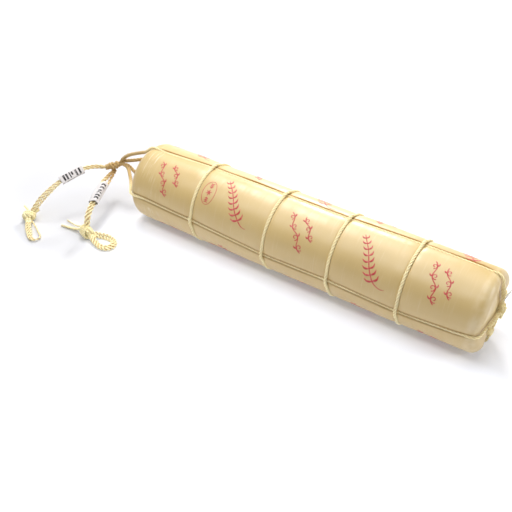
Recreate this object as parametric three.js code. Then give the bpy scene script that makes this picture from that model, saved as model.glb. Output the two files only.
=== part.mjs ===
import * as THREE from 'three';
import { LoftGeometry } from 'three/addons/geometries/LoftGeometry.js';

// A long provolone in its casing, lying on a slightly flattened side and netted in twine:
// four cords run lengthwise, four rings cross them, and at the left end the cords are
// gathered in a knot from which two doubled tails with hanging loops come down.
// Millimetres. X runs along the cheese, the front is -Y, and Z = 0 is what it lies on.

const cheese = {
  radius: 55,
  axisHeight: 53.5,
  leftPole: -236.8,
  leftCap: 25,
  leftRadius: 54.4,
  bodyEnd: 281.1,
  rightRadius: 54,
  corner: 13,
  dome: 1,
};
const twine = { radius: 2, gap: 0.45, sides: 8 };
const netPinch = { body: 1.1, bodyWidth: 8, end: 3.4, endWidth: 13, endFrom: 262.6, onFace: 0.2 };
const ringPinch = { depth: 0.8, width: 6 };
const crossing = { y: 7, z: 56 };

const rings = [
  { x: -113.9, lean: -2 },
  { x: 0.4, lean: -0.6 },
  { x: 96.1, lean: -2.4 },
  { x: 191.8, lean: -0.8 },
];

// A cord's angle about the cheese is 0 at the front, 90 on top, 180 behind and 270 below.
// It is held at the left end, at each ring and at the right end, and straight between them.
const heldAt = [-211.4, ...rings.map((ring) => ring.x), 284.6];
const cords = [
  {
    name: 'front', angles: [5.5, 2, -6.5, -4.5, -8, -2], sink: 1.5, lands: 36, sunkFrom: [46, 84],
    grooveAt: [0.75, 1.12],
    free: [
      [-280, 0.6, 56.2], [-273.7, -0.8, 57], [-265.1, -6.1, 57.5], [-254.5, -15.7, 58],
      [-243.2, -26.8, 58], [-233, -38.2, 58],
    ],
  },
  {
    name: 'top', angles: [90.5, 96.8, 97, 97.1, 102.5, 104], sink: 1.5, lands: 36, sunkFrom: [46, 84],
    grooveAt: [0.75, 1.12],
    free: [
      [-285.6, 3.6, 61], [-281, 3.5, 66.2], [-273.9, 3, 72.5], [-265, 2.5, 78.5],
      [-254.3, 2, 84.2], [-243.9, 1.5, 89.3], [-234.1, 1, 94.4],
    ],
  },
  {
    name: 'back', angles: [179, 182, 180, 179, 181.5, 180], sink: 1.5, lands: 44, sunkFrom: [52, 84],
    grooveAt: [0.75, 1.12],
    free: [
      [-280.2, 5.6, 60.4], [-274.8, 7, 61.8], [-269.4, 8.6, 63.2], [-263.1, 11.8, 64.4], [-257.9, 16.6, 64.8],
      [-245.4, 30, 62.6],
    ],
  },
  {
    name: 'bottom', angles: [270, 270, 270, 270, 270, 270], sink: 2.5, lands: 13, sunkFrom: [26, 52],
    grooveAt: [0.62, 0.97, 1.12],
    free: [[-279.9, 5.4, 53.8], [-272, 4.6, 52.9], [-264.4, 2.6, 51], [-254.4, 1.2, 46.6], [-245.4, 0.4, 41.6]],
  },
];
const ringHump = { rise: 4.5, width: 8 };
const bottomDip = { depth: 4.2, reach: 14 };

const gather = { from: [-287.6, 2.6, 54.1], to: [-302, -16.2, 52.9], radius: 6, wraps: 3 };

const tails = [
  {
    route: [
      [-303.2, -18, 53.8], [-305.8, -23.3, 56.5], [-309.3, -30, 58.9], [-312.7, -36.7, 60.3],
      [-315.6, -42.1, 61], [-322.8, -56.1, 57.9], [-327.9, -66, 54.9], [-333, -75.7, 51.7],
      [-337.6, -84.6, 46.8], [-341.8, -92.8, 41.4], [-345.7, -100.4, 35.5], [-348.9, -106.5, 30],
      [-352.1, -112.7, 23.9], [-354.8, -117.9, 18.2], [-356.2, -120.8, 15.6],
    ],
    tag: { from: 0.244, to: 0.519, width: 10, thickness: 8.6 },
  },
  {
    route: [
      [-295, -4.6, 43.4], [-293, -11.2, 43.8], [-290.3, -19.7, 44.2], [-287, -30.2, 44.2],
      [-283.4, -41.8, 43.9], [-280.1, -52.3, 42.6], [-276.8, -62.8, 40.9], [-273.5, -73.1, 39.1],
      [-270.9, -81.4, 37.2], [-268.7, -88.3, 35.3], [-267, -93.8, 32.9], [-265.6, -98.4, 29.8],
      [-264.6, -101.6, 25.6], [-263.8, -104, 20.6], [-263, -106.4, 15.6],
    ],
    tag: { from: 0.333, to: 0.674, width: 8.6, thickness: 13.5 },
  },
];
const tailRadius = 3.4;
const tagFold = { corner: 2, bore: 3.8 };

const hangKnots = [
  { centre: [-359.1, -126.2, 7.5], axis: [0.835, 0.55, 0], length: 20, radius: 6.6, wraps: 3 },
  { centre: [-261, -109.8, 8.3], axis: [0.97, -0.22, -0.08], length: 21, radius: 6.6, wraps: 4 },
];
const hangLoops = [
  {
    radius: 2.6,
    route: [
      [-353.3, -134.6, 6.4], [-348.1, -140.2, 4.6], [-341.4, -146.3, 3.6], [-334.5, -151.6, 2.9],
      [-324.4, -158.2, 2.8], [-318, -161.2, 2.8], [-313.8, -158.4, 2.8], [-314.8, -152.6, 2.8],
      [-320.4, -146.6, 2.8], [-329, -140.4, 2.8], [-335.4, -137, 3.2], [-341.4, -134.8, 5], [-346.8, -133, 7.4],
    ],
  },
  {
    radius: 3.3,
    route: [
      [-248.8, -106, 7.2], [-245, -101.4, 4.8], [-237.9, -98.2, 3.7], [-230.4, -98, 3.5], [-222.1, -99.9, 3.5],
      [-216.1, -104, 3.5], [-213.8, -109.8, 3.5], [-216, -115.4, 3.5], [-222.3, -118, 3.5],
      [-230, -117.6, 3.5], [-237.9, -116.4, 3.9], [-246, -114.8, 5.4],
    ],
  },
];
const frayedEnds = [
  {
    radius: 1.7,
    route: [[-363.2, -123, 15.4], [-366.2, -122.4, 16.1], [-370, -121, 16.4], [-374.1, -119.5, 15.6]],
  },
  {
    radius: 1.8,
    route: [
      [-274, -107.2, 7.4], [-282, -108.5, 5], [-288.4, -108.8, 3.4], [-295.3, -109.5, 2.4],
      [-310.3, -111.4, 2],
    ],
  },
  {
    radius: 1.1,
    route: [
      [-274.8, -104.8, 10.4], [-278.4, -105.2, 9.6], [-284.7, -104.8, 7.4], [-293.2, -102.1, 4.5],
      [-303.4, -99.1, 2],
      [-312.6, -97.2, 1.3]],
  },
];

const endKnots = [
  {
    name: 'centre_knot', centre: [299.3, 7.2, 56.4], axis: [0.05, 0.4, 0.9],
    length: 16, radius: 4.6, wraps: 2,
  },
  {
    name: 'side_knot', centre: [300.6, -28.5, 49.5], axis: [0.1, 0.7, 0.3],
    length: 8, radius: 2.6, wraps: 1,
  },
];
const casingTail = {
  at: [299.6, 3.5, 73.8], tip: [303, 8.6, 86.6], root: 2, width: 22, thickness: 0.9, ripple: 1.2,
};

const colours = {
  casing: { color: 0xe9dba4, roughness: 0.38 },
  twine: { color: 0xeddfa0, roughness: 0.85 },
  film: { color: 0xe8e6da, roughness: 0.25 },
  paper: { color: 0xecebee, roughness: 0.6 },
};

const quarterTurn = Math.PI / 2;
const capRun = 64;
const bodyStart = cheese.leftPole + cheese.leftCap;
const bodyRun = cheese.bodyEnd - bodyStart;
const cornerRun = cheese.corner * quarterTurn;
const faceRadius = cheese.rightRadius - cheese.corner;
const cornerFrom = capRun + bodyRun;
const faceFrom = cornerFrom + cornerRun;
const clearance = twine.radius + twine.gap;
const grooveEdge = 1.12 * clearance;
const besideCord = 9.8;

// Where the casing and the cords take their shared rows, so that each cord lies true in its groove.
const capRows = [0, 7, 15, 23, 31, 39, 47, 55];
const bodyRows = [bodyStart, -201, -191, -155, -56, 49, 144, 220, 241, 259, 273, cheese.bodyEnd];
const cornerRows = [0.25, 0.5, 0.75, 1].map((share) => cornerFrom + share * cornerRun);
const faceRows = [0.16, 0.38, 0.6, 0.8, 1].map((share) => faceFrom + share * faceRadius);

const { clamp, smoothstep, degToRad, lerp } = THREE.MathUtils;

function pick(values, places, x) {
  if (x <= places[0]) return values[0];
  const next = places.findIndex((place) => place > x);
  if (next < 0) return values[values.length - 1];
  const share = (x - places[next - 1]) / (places[next] - places[next - 1]);
  return lerp(values[next - 1], values[next], share);
}

// The outline that is turned about the axis: run is the length along it from the left pole.
function outline(run) {
  if (run < capRun) {
    const turn = (run / capRun) * quarterTurn;
    const outward = new THREE.Vector2(-Math.cos(turn) / cheese.leftCap, Math.sin(turn) / cheese.leftRadius);
    outward.normalize();
    const x = cheese.leftPole + cheese.leftCap * (1 - Math.cos(turn));
    return { x, r: cheese.leftRadius * Math.sin(turn), outward, face: 0 };
  }
  if (run < cornerFrom) {
    const x = bodyStart + run - capRun;
    const leftDrop = (cheese.radius - cheese.leftRadius) * (1 - smoothstep(x, bodyStart, -115));
    const rightDrop = (cheese.radius - cheese.rightRadius) * smoothstep(x, 195, cheese.bodyEnd);
    return { x, r: cheese.radius - leftDrop - rightDrop, outward: new THREE.Vector2(0, 1), face: 0 };
  }
  if (run < faceFrom) {
    const turn = (run - cornerFrom) / cheese.corner;
    const outward = new THREE.Vector2(Math.sin(turn), Math.cos(turn));
    const x = cheese.bodyEnd + cheese.corner * outward.x;
    return { x, r: faceRadius + cheese.corner * outward.y, outward, face: 0 };
  }
  const face = (run - faceFrom) / faceRadius;
  const x = cheese.bodyEnd + cheese.corner + cheese.dome * (1 - (1 - face) ** 2);
  return { x, r: faceRadius * (1 - face), outward: new THREE.Vector2(1, 0), face };
}

function leanAt(x, angle) {
  return pick([0, ...rings.map((ring) => ring.lean), 0], heldAt, x) * Math.sin(angle);
}

function cordAngle(cord, x) {
  return degToRad(pick(cord.angles, heldAt, x));
}

function sideways(angle, cord, place) {
  const turn = angle - cordAngle(cord, place.x);
  return Math.atan2(Math.sin(turn), Math.cos(turn)) * place.r;
}

// How deep the net presses the casing in: a soft valley along each cord, much deeper and
// wider over the right end, where the cheese swells into four lobes between the cords.
function valley(run, angle) {
  const place = outline(run);
  const swell = smoothstep(place.x, netPinch.endFrom, cheese.bodyEnd + cheese.corner * 0.6);
  const width = lerp(netPinch.bodyWidth, netPinch.endWidth, swell);
  const onFace = lerp(1, netPinch.onFace, smoothstep(place.face, 0.05, 0.7));
  const depth = lerp(netPinch.body * smoothstep(run, 20, capRun), netPinch.end, swell) * onFace;
  const pressed = (cord) => Math.exp(-((sideways(angle, cord, place) / width) ** 2));
  const open = cords.reduce((all, cord) => all * (1 - pressed(cord)), 1);
  return depth * (1 - open);
}

function ringValley(x) {
  const pressed = (ring) => Math.exp(-(((x - ring.x) / ringPinch.width) ** 2));
  return rings.reduce((sum, ring) => sum + ringPinch.depth * pressed(ring), 0);
}

function pointOn(run, angle, rise) {
  const place = outline(run);
  const r = place.r + place.outward.y * rise;
  const shift = smoothstep(place.face, 0, 1);
  const y = crossing.y * shift;
  const z = lerp(cheese.axisHeight, crossing.z, shift);
  const x = place.x + place.outward.x * rise + leanAt(place.x, angle);
  return new THREE.Vector3(x, y - r * Math.cos(angle), z + r * Math.sin(angle));
}

// Height of a cord's centre line over the outline, measured squarely to it.
function cordRise(cord, run) {
  const place = outline(run);
  const onSkin = clearance;
  const sinking = smoothstep(run, ...cord.sunkFrom);
  const rising = smoothstep(run, cornerFrom - 14, faceFrom);
  const seat = lerp(lerp(onSkin, -cord.sink, sinking), onSkin, rising);
  const rise = seat - valley(run, cordAngle(cord, place.x));
  if (cord.name !== 'bottom') return rise;
  const offTheGround = (cheese.axisHeight - clearance) / Math.max(place.outward.y, 0.3) - place.r;
  return Math.min(rise, offTheGround) - bottomDipAt(place.x);
}

function bottomDipAt(x) {
  const nearest = Math.min(...rings.map((ring) => Math.abs(x - ring.x)));
  return bottomDip.depth * clamp((bottomDip.reach - nearest) / (bottomDip.reach - grooveEdge), 0, 1);
}

// Height of a ring's centre line over the outline: half sunk, over the cords in a low hump,
// and pressed level with the flat side below.
function ringRise(ring, angle) {
  const place = { x: ring.x, r: cheese.radius };
  const nearness = (cord) => Math.exp(-((sideways(angle, cord, place) / ringHump.width) ** 4));
  const hump = Math.max(...cords.filter((cord) => cord.name !== 'bottom').map(nearness));
  const rest = 0.3 - ringPinch.depth;
  const over = ringHump.rise - netPinch.body - cords[0].sink;
  const rise = lerp(rest, over, hump);
  const lowest = (cheese.axisHeight - clearance + 0.2) / Math.max(-Math.sin(angle), 0.05) - cheese.radius;
  return Math.min(rise, lowest);
}

function grooveUnder(centreRise, offset) {
  if (Math.abs(offset) >= clearance) return Infinity;
  return centreRise - Math.sqrt(clearance ** 2 - offset ** 2);
}

function skinPoint(run, cord, offset, angle) {
  const place = outline(run);
  let rise = -valley(run, angle) - (place.face > 0 ? 0 : ringValley(place.x));
  if (cord && run > cord.lands) rise = Math.min(rise, grooveUnder(cordRise(cord, run), offset));
  for (const ring of rings) rise = Math.min(rise, grooveUnder(ringRise(ring, angle), place.x - ring.x));
  const point = pointOn(run, angle, rise);
  point.z = Math.max(point.z, 0);
  return point;
}

function runsOf(places) {
  return [...places].sort((a, b) => a - b).map((x) => capRun + x - bodyStart);
}

function nearRings(offsets) {
  return rings.flatMap((ring) => offsets.map((offset) => ring.x + offset));
}

function cheeseGeometry() {
  const between = [0.27, 0.5, 0.73];
  const grooveSide = 0.75 * clearance;
  const besideRing = [grooveSide, grooveEdge, bottomDip.reach];
  const acrossRing = [...besideRing.map((offset) => -offset), 0, ...besideRing];
  const runs = [...capRows, ...runsOf([...bodyRows, ...nearRings(acrossRing)]), ...cornerRows, ...faceRows];
  const sections = runs.map((run) => {
    const place = outline(run);
    const reach = Math.min(1 / Math.max(place.r, 1), 0.6 / besideCord);
    const ringOfPoints = [];
    cords.forEach((cord, index) => {
      const next = cords[(index + 1) % cords.length];
      const here = cordAngle(cord, place.x);
      const there = cordAngle(next, place.x) + (next === cords[0] ? 2 * Math.PI : 0);
      const across = [...cord.grooveAt.map((share) => share * clearance), besideCord];
      const offsets = [...across.map((offset) => -offset).reverse(), 0, ...across];
      offsets.forEach((offset) => ringOfPoints.push(skinPoint(run, cord, offset, here + offset * reach)));
      const low = here + besideCord * reach;
      const high = there - besideCord * reach;
      between.forEach((share) => ringOfPoints.push(skinPoint(run, null, 0, lerp(low, high, share))));
    });
    return ringOfPoints.reverse();
  });
  return new LoftGeometry(sections);
}

// A route whose tube takes its steps from point to point, so that bends get more of them.
class Route extends THREE.CatmullRomCurve3 {
  getUtoTmapping(share) {
    return share;
  }
}

function vectors(points) {
  return points.map((point) => (point.isVector3 ? point : new THREE.Vector3(...point)));
}

function roundSection(radius, sides) {
  const corners = [];
  for (let side = 0; side < sides; side += 1) {
    const angle = (side / sides) * 2 * Math.PI;
    corners.push(new THREE.Vector2(radius * Math.cos(angle), radius * Math.sin(angle)));
  }
  return new THREE.Shape(corners);
}

function cordTube(points, radius, stepsEach = 1) {
  const path = new Route(vectors(points), false, 'centripetal');
  const steps = (points.length - 1) * stepsEach;
  const section = roundSection(radius, twine.sides);
  return new THREE.ExtrudeGeometry(section, { steps, extrudePath: path, bevelEnabled: false });
}

function netCordRoute(cord) {
  const { reach } = bottomDip;
  const byRing = cord.name === 'bottom' ? [-reach, -grooveEdge, grooveEdge, reach] : [-reach, 0, reach];
  const runs = [
    ...capRows.filter((run) => run > cord.lands),
    ...runsOf([...bodyRows, ...nearRings(byRing)]),
    ...cornerRows,
    ...faceRows.slice(0, 3),
  ];
  const held = runs.map((run) => pointOn(run, cordAngle(cord, outline(run).x), cordRise(cord, run)));
  return [...vectors(cord.free), ...held];
}

function ringGeometry(ring) {
  const points = [];
  const count = 48;
  for (let step = 0; step < count; step += 1) {
    const angle = (step / count) * 2 * Math.PI;
    points.push(pointOn(capRun + ring.x - bodyStart, angle, ringRise(ring, angle)));
  }
  const path = new Route(points, true, 'centripetal');
  return new THREE.TubeGeometry(path, count, twine.radius, twine.sides, true);
}

// A knot is a barrel of wraps turned about its own axis.
function knotGeometry({ length, radius, wraps }) {
  const profile = [new THREE.Vector2(0, -length / 2)];
  const stops = wraps * 4;
  for (let stop = 0; stop <= stops; stop += 1) {
    const share = stop / stops;
    const wrap = 0.9 + 0.1 * Math.abs(Math.sin(share * wraps * Math.PI));
    const end = Math.sqrt(1 - (2 * Math.abs(share - 0.5)) ** 4 * 0.72);
    profile.push(new THREE.Vector2(radius * wrap * end, (share - 0.5) * length * 0.96));
  }
  profile.push(new THREE.Vector2(0, length / 2));
  return new THREE.LatheGeometry(profile, 10);
}

function placeKnot(mesh, centre, axis) {
  mesh.position.set(...centre);
  mesh.quaternion.setFromUnitVectors(new THREE.Vector3(0, 1, 0), new THREE.Vector3(...axis).normalize());
  return mesh;
}

// A tag is a sleeve folded round the doubled twine.
function tagGeometry(route, { from, to, width, thickness }) {
  const path = new THREE.CatmullRomCurve3(vectors(route), false, 'centripetal');
  const stops = [0, 0.25, 0.5, 0.75, 1].map((share) => path.getPointAt(lerp(from, to, share)));
  const w = width / 2;
  const t = thickness / 2;
  const c = tagFold.corner;
  const corners = [
    [w, c - t], [w, t - c], [w - c, t], [c - w, t],
    [-w, t - c], [-w, c - t], [c - w, -t], [w - c, -t],
  ];
  const outer = new THREE.Shape(corners.map((point) => new THREE.Vector2(...point)));
  outer.holes.push(roundSection(tagFold.bore, 10));
  const along = new THREE.CatmullRomCurve3(stops, false, 'centripetal');
  return new THREE.ExtrudeGeometry(outer, { steps: 6, extrudePath: along, bevelEnabled: false });
}

// The loose end of the casing film: a thin fan with both faces rippled alike.
function filmGeometry() {
  const { root, width, thickness, ripple } = casingTail;
  const length = new THREE.Vector3(...casingTail.at).distanceTo(new THREE.Vector3(...casingTail.tip));
  const sections = [0, 0.25, 0.5, 0.75, 1].map((share) => {
    const half = lerp(root, width, share) / 2;
    const top = [];
    const under = [];
    for (const side of [-1, -0.4, 0.2, 1]) {
      const lift = ripple * Math.sin(side * 4) * share;
      top.push(new THREE.Vector3(half * side, share * length, lift + thickness / 2));
      under.unshift(new THREE.Vector3(half * side, share * length, lift - thickness / 2));
    }
    return [...top, ...under];
  });
  return new LoftGeometry(sections, { capStart: true, capEnd: true });
}

const part = new THREE.Group();
const finishes = {};
for (const [name, look] of Object.entries(colours)) {
  finishes[name] = new THREE.MeshStandardMaterial({ ...look, metalness: 0 });
}

function add(name, geometry, finish) {
  const mesh = new THREE.Mesh(geometry, finishes[finish]);
  mesh.name = name;
  part.add(mesh);
  return mesh;
}

add('cheese', cheeseGeometry(), 'casing');
cords.forEach((cord) => add(`long_cord_${cord.name}`, cordTube(netCordRoute(cord), twine.radius), 'twine'));
rings.forEach((ring, index) => add(`ring_cord_${index + 1}`, ringGeometry(ring), 'twine'));

const gatherFrom = new THREE.Vector3(...gather.from);
const gatherTo = new THREE.Vector3(...gather.to);
placeKnot(
  add('gather_knot', knotGeometry({ ...gather, length: gatherFrom.distanceTo(gatherTo) }), 'twine'),
  gatherFrom.clone().lerp(gatherTo, 0.5).toArray(),
  gatherTo.clone().sub(gatherFrom).toArray(),
);
endKnots.forEach((knot) => placeKnot(add(knot.name, knotGeometry(knot), 'twine'), knot.centre, knot.axis));

const film = add('casing_tail', filmGeometry(), 'film');
const filmLine = new THREE.Vector3(...casingTail.tip).sub(new THREE.Vector3(...casingTail.at)).normalize();
const filmAcross = new THREE.Vector3().crossVectors(filmLine, new THREE.Vector3(1, 0, 0)).normalize();
const filmOut = new THREE.Vector3().crossVectors(filmAcross, filmLine);
film.quaternion.setFromRotationMatrix(new THREE.Matrix4().makeBasis(filmAcross, filmLine, filmOut));
film.position.set(...casingTail.at);

tails.forEach((tail, index) => {
  add(`tail_${index + 1}`, cordTube(tail.route, tailRadius), 'twine');
  add(`tag_${index + 1}`, tagGeometry(tail.route, tail.tag), 'paper');
});
hangKnots.forEach((knot, index) => {
  placeKnot(add(`hang_knot_${index + 1}`, knotGeometry(knot), 'twine'), knot.centre, knot.axis);
});
hangLoops.forEach((loop, index) => {
  add(`hang_loop_${index + 1}`, cordTube(loop.route, loop.radius), 'twine');
});
frayedEnds.forEach((end, index) => {
  add(`frayed_end_${index + 1}`, cordTube(end.route, end.radius, 2), 'twine');
});

export default part;
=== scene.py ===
import math

import bmesh
import bpy
import numpy as np
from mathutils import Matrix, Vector


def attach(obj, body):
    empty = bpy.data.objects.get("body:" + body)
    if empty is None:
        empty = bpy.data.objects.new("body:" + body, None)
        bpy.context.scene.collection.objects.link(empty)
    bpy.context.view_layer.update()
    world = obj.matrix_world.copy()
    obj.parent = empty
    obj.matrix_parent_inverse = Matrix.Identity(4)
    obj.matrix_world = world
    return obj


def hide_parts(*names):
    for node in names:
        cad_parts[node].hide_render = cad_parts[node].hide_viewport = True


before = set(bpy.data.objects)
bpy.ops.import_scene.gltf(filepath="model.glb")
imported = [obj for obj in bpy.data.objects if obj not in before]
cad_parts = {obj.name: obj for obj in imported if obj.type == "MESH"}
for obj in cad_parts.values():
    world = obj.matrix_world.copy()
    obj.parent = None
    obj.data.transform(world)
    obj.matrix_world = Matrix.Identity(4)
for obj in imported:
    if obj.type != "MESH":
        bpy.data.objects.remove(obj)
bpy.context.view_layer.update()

# Shapes are worked out in millimetres and turned into metres as they become mesh.
mm = 0.001
fullTurn = 2 * math.pi
quarterTurn = math.pi / 2


# ---- camera

camera = {
    "place": (0.42852, -0.71806, 0.70495),
    "target": (-0.04422, 0.0, -0.01242),
    "lens": 55.53,
    "sensorWidth": 36,
}


def makeCamera(look):
    data = bpy.data.cameras.new("camera")
    data.sensor_fit = "HORIZONTAL"
    data.sensor_width = look["sensorWidth"]
    data.lens = look["lens"]
    data.clip_start = 0.01
    data.clip_end = 20
    obj = bpy.data.objects.new("camera", data)
    place = Vector(look["place"])
    obj.location = place
    obj.rotation_euler = (Vector(look["target"]) - place).to_track_quat("-Z", "Y").to_euler()
    bpy.context.scene.collection.objects.link(obj)
    bpy.context.scene.camera = obj


makeCamera(camera)
print("camera set")


# ---- numbers, routes and meshes

def smooth(value, low, high):
    share = np.clip((np.asarray(value, float) - low) / (high - low), 0, 1)
    return share * share * (3 - 2 * share)


def blendTo(a, b, share):
    return a + (b - a) * share


def unit(vectors):
    vectors = np.asarray(vectors, float)
    return vectors / np.maximum(np.linalg.norm(vectors, axis=-1, keepdims=True), 1e-9)


def routeLength(points):
    return float(np.sum(np.linalg.norm(np.diff(np.asarray(points, float), axis=0), axis=1)))


def evenly(line, step):
    along = np.concatenate([[0], np.cumsum(np.linalg.norm(np.diff(line, axis=0), axis=1))])
    count = max(int(round(along[-1] / step)), 4)
    at = np.linspace(0, along[-1], count + 1)
    return np.stack([np.interp(at, along, line[:, k]) for k in range(3)], axis=1)


def smoothRoute(points, step=1.5):
    # a centripetal Catmull-Rom curve through the points, resampled evenly
    points = np.asarray(points, float)
    held = np.concatenate([2 * points[:1] - points[1:2], points, 2 * points[-1:] - points[-2:-1]])
    dense = []
    for a, b, c, d in zip(held, held[1:], held[2:], held[3:]):
        t0 = 0.0
        t1 = t0 + np.linalg.norm(b - a) ** 0.5
        t2 = t1 + np.linalg.norm(c - b) ** 0.5
        t3 = t2 + np.linalg.norm(d - c) ** 0.5
        t = np.linspace(t1, t2, 14, endpoint=False)[:, None]
        ab = (t1 - t) / (t1 - t0) * a + (t - t0) / (t1 - t0) * b
        bc = (t2 - t) / (t2 - t1) * b + (t - t1) / (t2 - t1) * c
        cd = (t3 - t) / (t3 - t2) * c + (t - t2) / (t3 - t2) * d
        abc = (t2 - t) / (t2 - t0) * ab + (t - t0) / (t2 - t0) * bc
        bcd = (t3 - t) / (t3 - t1) * bc + (t - t1) / (t3 - t1) * cd
        dense.append((t2 - t) / (t2 - t1) * abc + (t - t1) / (t2 - t1) * bcd)
    return evenly(np.concatenate(dense + [held[-2:-1]]), step)


def sideFrames(line):
    # two directions across a line, carried along it with the least twist
    tangent = unit(np.gradient(line, axis=0))
    start = np.cross(tangent[0], [0, 0, 1.0])
    if np.linalg.norm(start) < 0.2:
        start = np.cross(tangent[0], [0, 1.0, 0])
    normals = [unit(start)]
    for along in tangent[1:]:
        normals.append(unit(normals[-1] - along * np.dot(normals[-1], along)))
    normals = np.array(normals)
    return normals, np.cross(tangent, normals)


def link(obj):
    bpy.context.scene.collection.objects.link(obj)
    return obj


def newPiece(name, vertices, faces, material, uvs=None, uvName="sheet"):
    # a smooth closed mesh piece; uvs holds one pair for each vertex
    mesh = bpy.data.meshes.new(name)
    mesh.from_pydata((np.asarray(vertices, float) * mm).tolist(), [], faces)
    shell = bmesh.new()
    shell.from_mesh(mesh)
    bmesh.ops.recalc_face_normals(shell, faces=shell.faces)
    shell.to_mesh(mesh)
    shell.free()
    mesh.shade_smooth()
    if uvs is not None:
        layer = mesh.uv_layers.new(name=uvName)
        corners = np.empty(len(mesh.loops), dtype=np.int32)
        mesh.loops.foreach_get("vertex_index", corners)
        layer.data.foreach_set("uv", np.asarray(uvs, float)[corners].ravel())
    mesh.materials.append(material)
    return link(bpy.data.objects.new(name, mesh))


def settled(obj):
    # the evaluated result as a plain mesh, with its modifiers gone
    graph = bpy.context.evaluated_depsgraph_get()
    mesh = bpy.data.meshes.new_from_object(obj.evaluated_get(graph))
    obj.modifiers.clear()
    old = obj.data
    obj.data = mesh
    bpy.data.meshes.remove(old)
    mesh.name = obj.name
    return obj


def aboveFloor(obj):
    # what would reach under the floor lies flat on it
    places = np.empty(len(obj.data.vertices) * 3)
    obj.data.vertices.foreach_get("co", places)
    places[2::3] = np.maximum(places[2::3], 0.0001)
    obj.data.vertices.foreach_set("co", places)
    obj.data.update()
    return obj


def tubeFaces(rows, columns, first=0):
    # quads of a closed tube of rows by columns vertices, with its two ends left open
    faces = []
    for row in range(rows - 1):
        a = first + row * columns
        b = a + columns
        for column in range(columns):
            beside = (column + 1) % columns
            faces.append((a + column, a + beside, b + beside, b + column))
    return faces


# ---- shader maths

class Wire:
    # a socket that can be written into sums

    def __init__(self, socket):
        self.socket = socket
        self.tree = socket.id_data

    def make(self, kind, settings=None, inputs=None, output=0):
        node = self.tree.nodes.new(kind)
        for name, value in (settings or {}).items():
            setattr(node, name, value)
        for name, value in (inputs or {}).items():
            plugIn(value, node.inputs[name])
        return Wire(node.outputs[output])

    def maths(self, operation, *values):
        return self.make("ShaderNodeMath", {"operation": operation}, dict(enumerate(values)))

    def __add__(self, other):
        return self.maths("ADD", self, other)

    def __radd__(self, other):
        return self.maths("ADD", other, self)

    def __sub__(self, other):
        return self.maths("SUBTRACT", self, other)

    def __rsub__(self, other):
        return self.maths("SUBTRACT", other, self)

    def __mul__(self, other):
        return self.maths("MULTIPLY", self, other)

    def __rmul__(self, other):
        return self.maths("MULTIPLY", other, self)

    def sine(self):
        return self.maths("SINE", self)

    def size(self):
        return self.maths("ABSOLUTE", self)

    def near(self, place, reach):
        return self.maths("COMPARE", self, place, reach)

    def between(self, low, high):
        # 0 at low and 1 at high, eased
        return self.make(
            "ShaderNodeMapRange", {"interpolation_type": "SMOOTHSTEP"},
            {"Value": self, "From Min": low, "From Max": high},
        )

    def tint(self, share, other):
        # this colour turned towards another by share
        return self.make("ShaderNodeMix", {"data_type": "RGBA"}, {0: share, 6: self, 7: other}, 2)

    def stretched(self, scale):
        return self.make("ShaderNodeVectorMath", {"operation": "MULTIPLY"}, {0: self, 1: scale})

    def noise(self, scale, detail=2.0, roughness=0.5):
        return self.make(
            "ShaderNodeTexNoise", {},
            {"Vector": self, "Scale": scale, "Detail": detail, "Roughness": roughness},
        )

    def part(self, axis):
        return self.make("ShaderNodeSeparateXYZ", {}, {0: self}, axis)

    def plain(self, value):
        wire = self.make("ShaderNodeRGB")
        wire.socket.default_value = value
        return wire


def plugIn(value, socket):
    if isinstance(value, Wire):
        socket.id_data.links.new(value.socket, socket)
    else:
        socket.default_value = value


def shade(red, green, blue):
    # screen values of 0 to 255 as the linear numbers that shaders use
    def linear(value):
        value /= 255
        return value / 12.92 if value <= 0.04045 else ((value + 0.055) / 1.055) ** 2.4
    return (linear(red), linear(green), linear(blue), 1.0)


def newMaterial(name, settings):
    # a Principled material whose fixed numbers are set on its own sockets
    material = bpy.data.materials.new(name)
    material.use_nodes = True
    tree = material.node_tree
    shader = tree.nodes["Principled BSDF"]
    for socket, value in settings.items():
        shader.inputs[socket].default_value = value
    place = Wire(tree.nodes.new("ShaderNodeTexCoord").outputs["Object"])
    return material, shader, place


def addBump(shader, height, strength, distance):
    bump = height.make(
        "ShaderNodeBump", {}, {"Height": height, "Strength": strength, "Distance": distance},
    )
    plugIn(bump, shader.inputs["Normal"])


casingLook = {
    "cream": shade(207, 180, 123),
    "butter": shade(199, 169, 107),
    "streakAndGlareWhite": shade(250, 240, 214),
    "shadow": shade(150, 104, 12),
    "satin": 0.36,
    "dull": 0.47,
    "streakHeight": 0.0003,
    # cycles in a metre along the casing and round it
    "streaks": (620, 22, 1), "broad": (90, 9, 1), "glintLines": (520, 34, 1), "patches": (30, 22, 1),
    "stretched": (60, 46, 1), "clouds": 13,
    # painted highlights: a milky glare band over the right end's edge (rim) and glint lines on the left
    # shoulder (glint)
    "rimGlare": {"from": 0.55, "full": 0.558, "fade": 0.564, "to": 0.58, "strength": 0.22},
    "glint": {"from": 0.024, "full": 0.045, "fade": 0.075, "to": 0.12, "strength": 0.55},
}


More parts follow.
